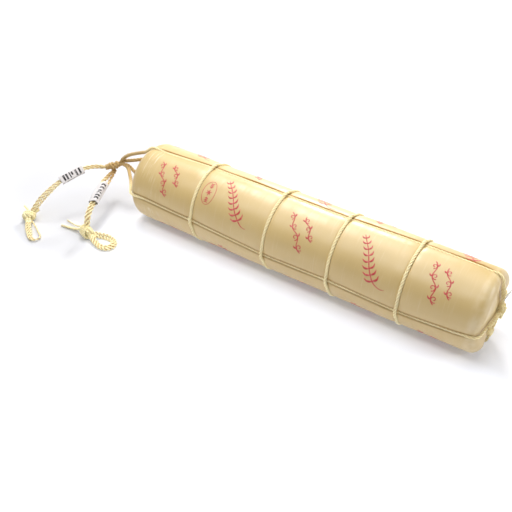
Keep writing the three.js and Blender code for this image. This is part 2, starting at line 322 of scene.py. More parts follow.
def casingMaterial(look):
    material, shader, place = newMaterial("casing", {
        "Specular IOR Level": 0.8,
    })
    skin = place.make("ShaderNodeUVMap", {"uv_map": "skin"})
    # fine streaks that run round the cheese, as the casing was drawn over it
    streaks = skin.stretched(look["streaks"]).noise(1.0, 3, 0.6)
    broad = skin.stretched(look["broad"]).noise(1.0, 2, 0.5)
    clouds = place.noise(look["clouds"], 3, 0.5)
    coloured = place.plain(look["cream"]).tint(clouds.between(0.35, 0.75) * 0.4, look["butter"])
    coloured = coloured.tint(streaks.between(0.55, 0.82) * 0.18, look["streakAndGlareWhite"])
    # painted highlight: whitish glint lines on the fine wrinkles of the left shoulder, lightening the
    # colour; the same lines also raise the bump
    glint = look["glint"]
    run = skin.part(0)
    onShoulder = run.between(glint["from"], glint["full"]) * (1 - run.between(glint["fade"], glint["to"]))
    glintLines = skin.stretched(look["glintLines"]).noise(1.0, 4, 0.7).between(0.52, 0.66)
    patches = skin.stretched(look["patches"]).noise(1.0, 2, 0.5).between(0.4, 0.62)
    marked = glintLines * patches * onShoulder
    # the glint lines are painted into the colour as highlights
    coloured = coloured.tint(marked * glint["strength"], look["streakAndGlareWhite"])
    # painted highlight: a milky glare band over the edge of the right end, blotched by noise
    rimGlare = look["rimGlare"]
    onRimGlare = run.between(rimGlare["from"], rimGlare["full"]) * (1 - run.between(rimGlare["fade"], rimGlare["to"]))
    stretched = skin.stretched(look["stretched"]).noise(1.0, 2, 0.5).between(0.3, 0.62)
    coloured = coloured.tint(onRimGlare * stretched * rimGlare["strength"], look["streakAndGlareWhite"])
    # painted shade: a darker line where the casing meets each cord, standing in for the shadow in the groove
    # beside it; it also roughens the casing there
    creaseShade = place.make("ShaderNodeAttribute", {"attribute_name": "creaseShade"}, output=2)
    plugIn(coloured.tint(creaseShade, look["shadow"]), shader.inputs["Base Color"])
    spread = look["dull"] - look["satin"]
    plugIn(look["satin"] + spread * broad.between(0.3, 0.7) + 0.5 * creaseShade, shader.inputs["Roughness"])
    addBump(shader, streaks * 0.5 + broad + marked * 1.6, 0.4, look["streakHeight"])
    return material


twineLook = {
    "pale": shade(255, 246, 199),
    "straw": shade(248, 222, 146),
    # deep: the colour of the painted shade between the plies
    "deep": shade(192, 122, 18),
    "groove": 0.45,
    "fibreHeight": 0.0002, "fibres": (1300, 1300, 260), "patches": 110,
    # painted shade on the twine round the gather knot
    "gatherShade": {
        "middle": -0.268, "full": 0.026, "reach": 0.048, "colour": shade(172, 132, 64), "share": 0.75,
        "side": (-0.05, -0.02),
    },
}


def twineMaterial(look):
    material, shader, place = newMaterial("twine", {
        "Specular IOR Level": 0.25, "Roughness": 0.8, "Sheen Weight": 0.2, "Sheen Roughness": 0.5,
    })
    lay = place.make("ShaderNodeAttribute", {"attribute_name": "lay"}, output=1)
    fibres = lay.stretched(look["fibres"]).noise(1.0, 3, 0.6)
    patches = place.noise(look["patches"], 2, 0.5)
    coloured = place.plain(look["pale"]).tint(fibres.between(0.42, 0.75) * 0.35, look["straw"])
    coloured = coloured.tint(patches.between(0.45, 0.8) * 0.3, look["straw"])
    # painted shade: browner and darker where the four long cords come together, for the shade in and round
    # the gather knot
    gatherShade = look["gatherShade"]
    off = (place.part(0) - gatherShade["middle"]).size()
    near = 1 - off.between(gatherShade["full"], gatherShade["reach"])
    share = near * place.part(1).between(*gatherShade["side"]) * gatherShade["share"]
    coloured = coloured.tint(share, gatherShade["colour"])
    # painted shade: the plies are darker where they turn in towards each other, standing in for the shade
    # between them
    out = place.make("ShaderNodeAttribute", {"attribute_name": "open"}, output=2)
    inwardShade = 1 - out.between(-0.2, 0.7)
    plugIn(coloured.tint(inwardShade * look["groove"], look["deep"]), shader.inputs["Base Color"])
    addBump(shader, fibres, 0.6, look["fibreHeight"])
    return material


filmLook = {"clear": shade(222, 223, 220), "thinnest": 0.55, "thickest": 0.9, "crinkle": 0.0004}


def filmMaterial(look):
    material, shader, place = newMaterial("film", {
        "Base Color": look["clear"], "Roughness": 0.24, "Specular IOR Level": 0.6,
    })
    haze = place.noise(240, 3, 0.6)
    spread = look["thickest"] - look["thinnest"]
    plugIn(look["thinnest"] + spread * haze.between(0.35, 0.7), shader.inputs["Alpha"])
    addBump(shader, haze, 0.4, look["crinkle"])
    return material


paperLook = {
    "paper": shade(222, 217, 216),
    "worn": shade(192, 186, 188),
    "print": shade(24, 22, 26),
    "stripes": (47.0, 113.0),
    # middle and reach of each printed area, along the sleeve and round it
    "first": ((0.24, 0.15), (0.49, 0.105)), "second": ((0.71, 0.17), (0.51, 0.1)),
    "rule": ((0.5, 0.3), (0.36, 0.012)), "block": ((0.47, 0.035), (0.53, 0.06)),
}


def paperMaterial(look):
    material, shader, place = newMaterial("paper", {"Roughness": 0.6})
    sheet = place.make("ShaderNodeUVMap", {"uv_map": "sheet"})
    along = sheet.part(0)
    across = sheet.part(1)
    # bars and blocks stand where such tags carry their print
    wide, narrow = look["stripes"]
    bars = ((along * wide).sine() + 0.6 * (along * narrow).sine()).between(-0.2, 0.1)

    def area(name):
        lengthwise, around = look[name]
        return along.near(*lengthwise) * across.near(*around)

    creases = place.noise(300, 3, 0.6)
    coloured = place.plain(look["paper"]).tint(creases.between(0.5, 0.8) * 0.4, look["worn"])
    inked = bars * area("first") + bars * area("second") + area("block") + area("rule") * 0.5
    inked = inked * (1 - 0.3 * creases.between(0.45, 0.7))
    plugIn(coloured.tint(inked, look["print"]), shader.inputs["Base Color"])
    addBump(shader, creases, 0.5, 0.0006)
    return material


inkLook = {"full": shade(192, 70, 68), "thin": shade(220, 134, 120)}


def inkMaterial(look):
    material, shader, place = newMaterial("ink", {"Roughness": 0.4, "Specular IOR Level": 0.5})
    worn = place.noise(380, 3, 0.65)
    coloured = place.plain(look["full"]).tint(worn.between(0.42, 0.72) * 0.7, look["thin"])
    plugIn(coloured, shader.inputs["Base Color"])
    return material


casing = casingMaterial(casingLook)
twineStuff = twineMaterial(twineLook)
film = filmMaterial(filmLook)
paper = paperMaterial(paperLook)
ink = inkMaterial(inkLook)
print("materials made")


# ---- twine: plies turned about a route, made by one node tree

twine = {"radius": 2.0, "plies": 3, "pitch": 15.0, "step": 1.3, "profile": 8, "seat": 0.6, "uneven": 0.025}


def twineTree():
    tree = bpy.data.node_groups.new("twistedTwine", "GeometryNodeTree")
    sockets = [
        ("Geometry", "NodeSocketGeometry"), ("Radius", "NodeSocketFloat"), ("Plies", "NodeSocketInt"),
        ("Pitch", "NodeSocketFloat"), ("Step", "NodeSocketFloat"), ("Profile", "NodeSocketInt"),
        ("Splay", "NodeSocketFloat"), ("Material", "NodeSocketMaterial"),
    ]
    for name, kind in sockets:
        tree.interface.new_socket(name, in_out="INPUT", socket_type=kind)
    tree.interface.new_socket("Geometry", in_out="OUTPUT", socket_type="NodeSocketGeometry")
    given = tree.nodes.new("NodeGroupInput").outputs
    result = tree.nodes.new("NodeGroupOutput")

    def add(kind, settings=None, inputs=None):
        node = tree.nodes.new(kind)
        for name, value in (settings or {}).items():
            setattr(node, name, value)
        for name, value in (inputs or {}).items():
            if isinstance(value, bpy.types.NodeSocket):
                tree.links.new(value, node.inputs[name])
            else:
                node.inputs[name].default_value = value
        return node.outputs

    def maths(operation, *values):
        return add("ShaderNodeMath", {"operation": operation}, dict(enumerate(values)))[0]

    def vectors(operation, inputs):
        return add("ShaderNodeVectorMath", {"operation": operation}, inputs)[0]

    def stored(geometry, name, kind, value):
        inputs = {"Geometry": geometry, "Name": name, "Value": value}
        return add("GeometryNodeStoreNamedAttribute", {"data_type": kind, "domain": "POINT"}, inputs)[0]

    line = add("GeometryNodeMeshToCurve", {}, {0: given["Geometry"]})[0]
    even = add("GeometryNodeResampleCurve", {"mode": "LENGTH"}, {
        "Curve": line, "Length": given["Step"],
    })[0]
    straight = add("GeometryNodeSetCurveNormal", {"mode": "MINIMUM_TWIST"}, {"Curve": even})[0]
    plies = add("GeometryNodeDuplicateElements", {"domain": "SPLINE"}, {
        "Geometry": straight, "Amount": given["Plies"],
    })
    place = add("GeometryNodeSplineParameter")
    thick = add("GeometryNodeInputNamedAttribute", {"data_type": "FLOAT"}, {"Name": "thick"})[0]
    share = maths("DIVIDE", plies["Duplicate Index"], given["Plies"])
    turns = maths("ADD", maths("DIVIDE", place["Length"], given["Pitch"]), share)
    angle = maths("MULTIPLY", turns, fullTurn)
    parting = maths("MULTIPLY", maths("POWER", place["Factor"], 5.0), given["Splay"])
    seat = maths("MULTIPLY", maths("MULTIPLY", given["Radius"], twine["seat"]), thick)
    reach = maths("ADD", seat, parting)
    normal = add("GeometryNodeInputNormal")[0]
    crossing = vectors("CROSS_PRODUCT", {0: add("GeometryNodeInputTangent")[0], 1: normal})
    sideOne = vectors("SCALE", {0: normal, "Scale": maths("MULTIPLY", maths("COSINE", angle), reach)})
    sideTwo = vectors("SCALE", {0: crossing, "Scale": maths("MULTIPLY", maths("SINE", angle), reach)})
    offset = vectors("ADD", {0: sideOne, 1: sideTwo})
    outwards = stored(plies["Geometry"], "outward", "FLOAT_VECTOR", vectors("NORMALIZE", {0: offset}))
    moved = add("GeometryNodeSetPosition", {}, {"Geometry": outwards, "Offset": offset})[0]
    # where each point lies along its ply and round it, for the pattern of the fibres
    lengths = stored(moved, "along", "FLOAT", place["Length"])
    circle = add("GeometryNodeCurvePrimitiveCircle", {"mode": "RADIUS"}, {
        "Resolution": given["Profile"], "Radius": maths("MULTIPLY", given["Radius"], 0.5),
    })[0]
    turn = maths("MULTIPLY", place["Factor"], fullTurn)
    roundAt = add("ShaderNodeCombineXYZ", {}, {
        0: maths("MULTIPLY", maths("COSINE", turn), mm), 1: maths("MULTIPLY", maths("SINE", turn), mm),
    })[0]
    profile = stored(circle, "round", "FLOAT_VECTOR", roundAt)
    skin = add("GeometryNodeCurveToMesh", {}, {
        "Curve": lengths, "Profile Curve": profile, "Scale": thick, "Fill Caps": True,
    })[0]
    readRound = add("GeometryNodeInputNamedAttribute", {"data_type": "FLOAT_VECTOR"}, {"Name": "round"})[0]
    readAlong = add("GeometryNodeInputNamedAttribute", {"data_type": "FLOAT"}, {"Name": "along"})[0]
    alongOnly = add("ShaderNodeCombineXYZ", {}, {2: readAlong})[0]
    marked = stored(skin, "lay", "FLOAT_VECTOR", vectors("ADD", {0: readRound, 1: alongOnly}))
    # 1 on the outer side of a ply, -1 on the side turned to the middle of the twine
    readOut = add("GeometryNodeInputNamedAttribute", {"data_type": "FLOAT_VECTOR"}, {"Name": "outward"})[0]
    facing = add("ShaderNodeVectorMath", {"operation": "DOT_PRODUCT"}, {
        0: add("GeometryNodeInputNormal")[0], 1: readOut,
    })["Value"]
    turnedOut = stored(marked, "open", "FLOAT", facing)
    rounded = add("GeometryNodeSetShadeSmooth", {}, {"Geometry": turnedOut})[0]
    real = add("GeometryNodeRealizeInstances", {}, {"Geometry": rounded})[0]
    painted = add("GeometryNodeSetMaterial", {}, {"Geometry": real, "Material": given["Material"]})[0]
    tree.links.new(painted, result.inputs[0])
    return tree


twisted = twineTree()


def twinePiece(name, strands, radius=None, pitch=None, closed=False, splay=0.0, plies=None, thick=None):
    # strands are lists of points in millimetres that the twine follows; thick scales it along each strand
    rng = np.random.default_rng(sum(map(ord, name)))
    vertices = []
    edges = []
    scales = []
    for index, strand in enumerate(strands):
        first, count = len(vertices), len(strand)
        vertices.extend((np.asarray(strand, float) * mm).tolist())
        edges.extend((i, i + 1) for i in range(first, len(vertices) - 1))
        if closed:
            edges.append((len(vertices) - 1, first))
        # spun by hand, so never quite even
        turn = np.arange(count) * fullTurn / count
        swells = max(int(routeLength(strand) / 9), 2)
        uneven = sum(np.sin(turn * (swells + k * 3) + rng.uniform(0, fullTurn)) for k in range(3))
        scales.append((1 + twine["uneven"] * uneven) * (1 if thick is None else thick[index]))
    mesh = bpy.data.meshes.new(name)
    mesh.from_pydata(vertices, edges, [])
    mesh.attributes.new("thick", "FLOAT", "POINT").data.foreach_set("value", np.concatenate(scales))
    obj = link(bpy.data.objects.new(name, mesh))
    pitch = pitch or twine["pitch"]
    if closed:
        around = routeLength(np.vstack([strands[0], strands[0][:1]]))
        pitch = around / round(around / pitch)
    given = {
        "Radius": (radius or twine["radius"]) * mm, "Plies": plies or twine["plies"],
        "Pitch": pitch * mm, "Step": twine["step"] * mm, "Profile": twine["profile"],
        "Splay": splay * mm, "Material": twineStuff,
    }
    modifier = obj.modifiers.new("twist", "NODES")
    modifier.node_group = twisted
    for item in twisted.interface.items_tree:
        if item.in_out == "INPUT" and item.name in given:
            modifier[item.identifier] = given[item.name]
    return aboveFloor(settled(obj))


def wound(line, apart, pitch, strands=2, start=0.0):
    # strands twisted together about a line
    one, two = sideFrames(line)
    steps = np.linalg.norm(np.diff(line, axis=0), axis=1)
    along = np.concatenate([[0], np.cumsum(steps)])
    made = []
    for index in range(strands):
        angle = fullTurn * (along / pitch + index / strands + start)
        made.append(line + apart * (np.cos(angle)[:, None] * one + np.sin(angle)[:, None] * two))
    return made


def eased(share, stops):
    # a value that eases from stop to stop, each a (share, value)
    places, values = np.array(stops, float).T
    cell = np.clip(np.searchsorted(places, share, side="right") - 1, 0, len(places) - 2)
    part = np.clip((share - places[cell]) / (places[cell + 1] - places[cell]), 0, 1)
    return values[cell] + (values[cell + 1] - values[cell]) * part * part * (3 - 2 * part)


def rolled(line, roll):
    # two directions across a line: level and upright ones turned about it by roll degrees
    tangent = unit(np.gradient(line, axis=0))
    up = unit(np.array([0, 0, 1.0]) - tangent * tangent[:, 2:3])
    side = np.cross(up, tangent)
    turn = math.radians(roll)
    return math.cos(turn) * side + math.sin(turn) * up, math.cos(turn) * up - math.sin(turn) * side


def beside(line, roll, tracks):
    # strands beside a line; a track lists (share, across, over) stops
    wide, deep = rolled(line, roll)
    share = np.linspace(0, 1, len(line))
    made = []
    for track in tracks:
        across = eased(share, [(at, a) for at, a, b in track])[:, None]
        over = eased(share, [(at, b) for at, a, b in track])[:, None]
        made.append(line + across * wide + over * deep)
    return made


def coil(centre, axis, length, radius, turns, start=0.0, lean=0.0, bulge=0.0, wide=1.0):
    # a strand wrapped round an axis, its turns leaning a little as hand-made ones do
    axis = unit(axis)
    side = unit(np.cross(axis, [0, 0, 1.0] if abs(axis[2]) < 0.9 else [0, 1.0, 0]))
    other = np.cross(axis, side)
    share = np.linspace(0, 1, int(turns * 26) + 1)
    angle = fullTurn * (share * turns + start)
    reach = radius * (1 + bulge * np.sin(math.pi * share))
    along = (share - 0.5) * length + lean * np.sin(angle)
    return (
        np.asarray(centre, float) + along[:, None] * axis
        + (wide * reach * np.cos(angle))[:, None] * side + (reach * np.sin(angle))[:, None] * other
    )


# ---- the free twine: tails with tags, knots, loops and frayed ends

tails = [
    {
        "route": [
            (-303.2, -18, 53.8), (-305.8, -23.3, 56.5), (-309.3, -30, 58.9), (-312.7, -36.7, 60.3),
            (-315.6, -42.1, 61), (-322.8, -56.1, 57.9), (-327.9, -66, 54.9), (-333, -75.7, 51.7),
            (-337.6, -84.6, 46.8), (-341.8, -92.8, 41.4), (-345.7, -100.4, 35.5), (-348.9, -106.5, 30),
            (-352.1, -112.7, 23.9), (-354.8, -117.9, 18.2), (-357.3, -122.9, 12.9),
        ],
        "roll": -45, "radius": 1.6, "width": 6.8,
        "tracks": [
            [(0, -1.6, 0), (0.24, -1.7, 0), (0.52, -1.9, 0), (0.64, -2.6, 0), (0.8, -3.3, 0),
             (0.93, -2.6, 0), (1, -1.2, 0)],
            [(0, 1.7, 0.2), (0.24, 1.6, 0), (0.52, 0.9, 0.4), (0.78, 0, 0.7), (1, 0.3, 0.6)],
            [(0, 0, -1.6), (0.24, 0, -1.6), (0.52, 1.4, -0.9), (0.7, 2.8, -0.3), (0.86, 3.2, 0),
             (1, 1.2, 0)],
        ],
        "thick": [(0, 1), (1, 1)],
        "tag": {
            "from": 0.244, "to": 0.519, "across": 12.4, "high": 7.4,
            "seed": 4, "turn": -45, "shift": 0.0,
        },
    },
    {
        "route": [
            (-295, -4.6, 43.4), (-293, -11.2, 43.8), (-290.3, -19.7, 44.2), (-287, -30.2, 44.2),
            (-283.4, -41.8, 43.9), (-280.1, -52.3, 42.6), (-276.8, -62.8, 40.9), (-273.5, -73.1, 39.1),
            (-270.9, -81.4, 37.2), (-268.7, -88.3, 35.3), (-267, -93.8, 32.9), (-265.6, -98.4, 29.8),
            (-264.6, -101.6, 25.6), (-263.8, -104, 20.6), (-263, -106.4, 15.6),
        ],
        "roll": -15, "radius": 1.75, "width": 8.2,
        "tracks": [
            [(0, -1.5, 0), (0.16, -3, 0.4), (0.3, -4.7, 0.6), (0.4, -3.6, 0), (0.62, -2.1, 0),
             (0.9, -2.3, 0), (1, -1.8, 0)],
            [(0, 0, 1.6), (0.16, -0.4, 1.2), (0.3, -1.7, 1.3), (0.42, -0.6, 0), (0.62, 2.1, 0.2),
             (0.9, 2.3, 0), (1, 1.8, 0)],
            [(0, 1.8, 0), (0.16, 3.2, -0.6), (0.3, 4.6, -1.2), (0.42, 3, -1), (0.62, 0.2, -2),
             (0.8, 0, -2), (1, 0, -1.8)],
        ],
        "thick": [(0, 1.05), (0.14, 1.2), (0.35, 1.15), (0.65, 1.25), (1, 1.2)],
        "tag": {
            "from": 0.333, "to": 0.674, "across": 13.6, "high": 9.4,
            "seed": 9, "turn": 25, "shift": 0.14,
        },
    },
]
strandPitch = 14.0


def wraps(*turns):
    # each wrap is given as its axis, shift along it, length, radius, turns, start, lean and width
    names = ("axis", "shift", "length", "radius", "turns", "start", "lean", "wide")
    return [dict(zip(names, values)) for values in turns]


hangKnots = [
    {
        "centre": (-359.3, -126, 8.6), "strand": 2.15,
        "wraps": wraps(
            ((0.3, -0.9, -0.2), 0.6, 8.6, 5.6, 2.2, 0.1, 1.0, 1.38),
            ((0.8, 0.55, 0.25), -1.0, 8, 5.2, 1.6, 0.4, 2.2, 1.1),
        ),
        "core": [(-352, -113, 16), (-356, -119.5, 11), (-359, -126, 7), (-356, -131, 6),
            (-350, -137.5, 5)],
    },
    {
        "centre": (-261, -109.6, 8.9), "strand": 1.95,
        "wraps": wraps(
            ((0.93, -0.34, -0.12), -2.4, 13.4, 6.4, 3.1, 0.15, 1.9, 1.05),
            ((0.6, 0.75, 0.3), 4.8, 5.4, 5.2, 1.3, 0.7, 1.6, 1.15),
        ),
        "core": [(-276, -106.5, 8), (-268, -108, 8.6), (-260, -110, 8.4), (-252, -109.5, 7.4),
            (-246, -107.5, 6)],
    },
]
hangLoops = [
    {
        "radius": 2.3, "width": 6.2,
        "route": [
            (-356.5, -131, 8), (-353.3, -134.6, 6.2), (-348.1, -140.2, 4.6), (-341.4, -146.3, 3.8),
            (-334.5, -151.6, 3.2), (-325.5, -158.3, 3), (-320.3, -159.5, 3), (-315.8, -156.6, 2.8),
            (-314.6, -151.4, 2.6), (-317.5, -146.9, 2.4), (-328, -141, 2.6),
            (-335.4, -136.9, 3.2), (-342.4, -134, 4.6), (-349, -131.6, 6.4),
        ],
        "tracks": [
            [(0, -1.7, 0), (0.2, -2.1, 0), (0.4, -1.7, 0), (0.5, 0, 0), (1, 0, 0)],
            [(0, 1.7, 0), (0.2, 2.1, 0), (0.38, 1.7, 0), (0.47, 0.9, 0), (1, 0.9, -0.6)],
        ],
        "thick": [(0, 1.05), (0.3, 1.1), (0.46, 0.9), (0.56, 0.62), (1, 0.58)], "second": 0.48,
    },
    {
        "radius": 2.5, "width": 8.6,
        "route": [
            (-253.5, -108.4, 8.2), (-248.8, -105, 6.6), (-245, -101.4, 4.8), (-237.9, -98.2, 3.9),
            (-231.4, -97.2, 3.5), (-225, -97.9, 3.5), (-218.9, -99.9, 3.5), (-215.1, -105.1, 3.5),
            (-215.1, -111.5, 3.5), (-218.9, -116.7, 3.5), (-225, -118.7, 3.5),
            (-231.5, -118.2, 3.5), (-237.9, -116.6, 3.9),
            (-246, -114.4, 5.4), (-252, -111.6, 7),
        ],
        "tracks": [
            [(0, -1.2, -1.2), (0.2, -2.0, -1.4), (0.36, -2.2, -0.8), (0.5, -2.2, 0.6),
             (0.78, -1.9, 0.4), (1, -1.2, 0)],
            [(0, 1.2, 1.6), (0.2, 0.9, 2.0), (0.36, 1.5, 1.6), (0.5, 2.3, 0), (0.78, 2.1, 0),
             (1, 1.4, 0)],
        ],
        "thick": [(0, 1), (0.5, 1.1), (1, 1)], "second": 1.0,
    },
]
frayedEnds = [
    {
        "radius": 1.7,
        "route": [(-360, -124, 12.4), (-363.2, -123, 15.2), (-366.2, -122.4, 16.1),
            (-370, -121, 16.4), (-374.1, -119.5, 15.6)],
        "thick": [(0, 1.1), (0.6, 0.95), (1, 0.6)],
    },
    {
        "radius": 1.8,
        "route": [
            (-274, -107.2, 7.4), (-282, -108.5, 5), (-288.4, -108.8, 3.4), (-295.3, -109.5, 2.4),
            (-310.3, -111.4, 2),
        ],
        "thick": [(0, 1.2), (0.28, 0.95), (0.36, 1.25), (0.46, 0.8), (0.62, 1.05), (0.8, 0.75), (1, 0.6)],
    },
    {
        "radius": 1.1,
        "route": [
            (-274.8, -104.8, 10.4), (-278.4, -105.2, 9.6), (-284.7, -104.8, 7.4), (-293.2, -102.1, 4.5),
            (-303.4, -99.1, 2), (-312.6, -97.2, 1.3),
        ],
        "thick": [(0, 1.3), (0.3, 0.95), (0.42, 1.15), (0.6, 0.8), (1, 0.55)],
    },
]


tagMake = {"rows": 34, "columns": 48, "squareness": 6.0, "thickness": 0.45, "creases": 9}


def tagPiece(name, line, look):
    # a paper sleeve folded round the doubled twine, creased and a little crushed
    rng = np.random.default_rng(look["seed"])
    along = np.linspace(0, 1, len(line))
    rows, columns = tagMake["rows"], tagMake["columns"]
    shares = np.linspace(look["from"], look["to"], rows)
    middle = np.stack([np.interp(shares, along, line[:, k]) for k in range(3)], axis=1)
    side, up = rolled(middle, look["turn"])
    angle = fullTurn * np.arange(columns) / columns
    power = tagMake["squareness"]
    reach = (np.abs(np.cos(angle)) ** power + np.abs(np.sin(angle)) ** power) ** (-1 / power)
    lengthwise = np.linspace(0, 1, rows)[:, None]
    dents = np.zeros((rows, columns))
    for _ in range(tagMake["creases"]):
        # straight creases lie across the sleeve at odd angles
        slant, place, depth = rng.uniform(-1.6, 1.6), rng.uniform(0, fullTurn), rng.uniform(0.12, 0.4)
        turns = rng.integers(1, 4) * 2
        dents += depth * (np.abs(np.sin(turns * angle / 2 + slant * 4 * lengthwise + place)) - 0.6)
    outerU = np.cos(angle) * reach * look["across"] / 2
    outerV = np.sin(angle) * reach * look["high"] / 2
    vertices = []
    uvs = []
    turned = ((angle + quarterTurn) / fullTurn + look["shift"]) % 1
    for inset in (0.0, tagMake["thickness"]):
        swell = 1 - (inset - 0.3 * dents + 0.35 * np.maximum(-dents, 0)) / (look["across"] / 2)
        for row in range(rows):
            scale = swell[row][:, None]
            points = middle[row] + scale * (outerU[:, None] * side[row] + outerV[:, None] * up[row])
            vertices.extend(points.tolist())
            uvs.extend([(row / (rows - 1), value) for value in turned])
    inner = rows * columns
    last = (rows - 1) * columns
    faces = tubeFaces(rows, columns) + tubeFaces(rows, columns, inner)
    for column in range(columns):
        beside = (column + 1) % columns
        faces.append((column, inner + column, inner + beside, beside))
        faces.append((last + beside, inner + last + beside, inner + last + column, last + column))
    return newPiece(name, vertices, faces, paper, uvs)


knotMake = {
    "bulge": 0.05, "gap": 2.1, "pitch": 9.0,
    # the strands inside swell out and fill the turns round them
    "swell": [(0, 0.7), (0.3, 1.3), (0.55, 1.7), (0.75, 1.5), (1, 0.7)],
}


def hangKnotPiece(name, knot):
    # a wrapped knot: turns of twine round the doubled strands that pass through it
    strands = []
    for wrap in knot["wraps"]:
        axis = unit(wrap["axis"])
        middle = np.asarray(knot["centre"], float) + wrap["shift"] * axis
        strands.append(coil(
            middle, axis, wrap["length"], wrap["radius"], wrap["turns"], wrap["start"], wrap["lean"],
            knotMake["bulge"], wrap.get("wide", 1.0),
        ))
    core = smoothRoute(knot["core"], 1.3)
    gaps = (-knotMake["gap"], knotMake["gap"])
    strands.extend(beside(core, 0, [[(0, gap, 0), (1, gap, 0)] for gap in gaps]))
    strands.append(core)
    thick = [np.full(len(strand), 1.0) for strand in strands]
    thick[-1] = eased(np.linspace(0, 1, len(core)), knotMake["swell"])
    return twinePiece(name, strands, knot["strand"], knotMake["pitch"], thick=thick)


def layTwine():
    made = {}
    for index, tail in enumerate(tails):
        number = index + 1
        line = smoothRoute(tail["route"], 1.5)
        strands = beside(line, tail["roll"], tail["tracks"])
        thick = eased(np.linspace(0, 1, len(line)), tail["thick"])
        tailPiece = twinePiece(
            f"tail_twine_{number}", strands, tail["radius"], strandPitch, plies=2,
            thick=[thick] * len(strands),
        )
        tag = tagPiece(f"paper_tag_{number}", line, tail["tag"])
        knot = hangKnotPiece(f"wrapped_knot_{number}", hangKnots[index])
        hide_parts(f"tail_{number}")
        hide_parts(f"tag_{number}")
        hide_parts(f"hang_knot_{number}")
        made[f"tail{number}"] = (tailPiece, line)
        made[f"tag{number}"] = (tag, None)
        made[f"knot{number}"] = (knot, None)
    for index, loop in enumerate(hangLoops):
        number = index + 1
        line = smoothRoute(loop["route"], 1.3)
        thick = eased(np.linspace(0, 1, len(line)), loop["thick"])
        both = beside(line, 0, loop["tracks"])
        kept = max(int(len(line) * loop["second"]), 4)
        piece = twinePiece(
            f"loop_twine_{number}", [both[0], both[1][:kept]], loop["radius"], 11.0, plies=2,
            thick=[thick, thick[:kept]],
        )
        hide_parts(f"hang_loop_{number}")
        made[f"loop{number}"] = (piece, line)
    for index, end in enumerate(frayedEnds):
        number = index + 1
        line = smoothRoute(end["route"], 1.2)
        thick = eased(np.linspace(0, 1, len(line)), end["thick"])
        piece = twinePiece(f"loose_end_{number}", [line], end["radius"], 9.0, splay=1.0, thick=[thick])
        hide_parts(f"frayed_end_{number}")
        made[f"end{number}"] = (piece, line)
    for piece, line in made.values():
        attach(piece, "root")


layTwine()
print("free twine laid")


# ---- the cheese in its casing

cheese = {
    "radius": 55, "axisHeight": 53.5, "leftPole": -236.8, "leftCap": 25, "leftRadius": 54.4,
    "bodyEnd": 281.1, "rightRadius": 54, "corner": 13, "dome": 1, "capRun": 64,
    "crossingY": 7, "crossingZ": 56, "rowStep": 1.75, "betweenCords": 38,
}
netPinch = {"body": 1.1, "bodyWidth": 8, "end": 3.4, "endWidth": 13, "endFrom": 262.6, "onFace": 0.2}
ringPinch = {"depth": 0.8, "width": 6}
rings = [(-113.9, -2), (0.4, -0.6), (96.1, -2.4), (191.8, -0.8)]  # place along the cheese, lean
heldAt = [-211.4] + [x for x, lean in rings] + [284.6]

# A cord's angle is 0 at the front, 90 on top, 180 behind and 270 below.
netCords = {
    "front": {
        "angles": (5.5, 2, -6.5, -4.5, -8, -2), "sink": 1.5, "lands": 36, "sunkFrom": (46, 84),
        "free": [
            (-280, 0.6, 56.2), (-273.7, -0.8, 57), (-265.1, -6.1, 57.5), (-254.5, -15.7, 58),
            (-243.2, -26.8, 58), (-233, -38.2, 58),
        ],
    },
    "top": {
        "angles": (90.5, 96.8, 97, 97.1, 102.5, 104), "sink": 1.5, "lands": 36, "sunkFrom": (46, 84),
        "free": [
            (-285.6, 3.6, 61), (-281, 3.5, 66.2), (-273.9, 3, 72.5), (-265, 2.5, 78.5),
            (-254.3, 2, 84.2), (-243.9, 1.5, 89.3), (-234.1, 1, 94.4),
        ],
    },
    "back": {
        "angles": (179, 182, 180, 179, 181.5, 180), "sink": 1.5, "lands": 44, "sunkFrom": (52, 84),
        "free": [
            (-280.2, 5.6, 60.4), (-274.8, 7, 61.8), (-269.4, 8.6, 63.2), (-263.1, 11.8, 64.4),
            (-257.9, 16.6, 64.8), (-245.4, 30, 62.6),
        ],
    },
    "bottom": {
        "angles": (270,) * 6, "sink": 2.5, "lands": 13, "sunkFrom": (26, 52),
        "free": [
            (-279.9, 5.4, 53.8), (-272, 4.6, 52.9), (-264.4, 2.6, 51), (-254.4, 1.2, 46.6),
            (-245.4, 0.4, 41.6),
        ],
    },
}
clearance = 2.35
cadClearance = 2.45
ringHump = {"rise": 4.5, "width": 8}
bottomDip = {"depth": 4.2, "reach": 14, "edge": 2.74}

bodyStart = cheese["leftPole"] + cheese["leftCap"]
capRun = cheese["capRun"]
cornerFrom = capRun + cheese["bodyEnd"] - bodyStart
faceFrom = cornerFrom + cheese["corner"] * quarterTurn
faceRadius = cheese["rightRadius"] - cheese["corner"]


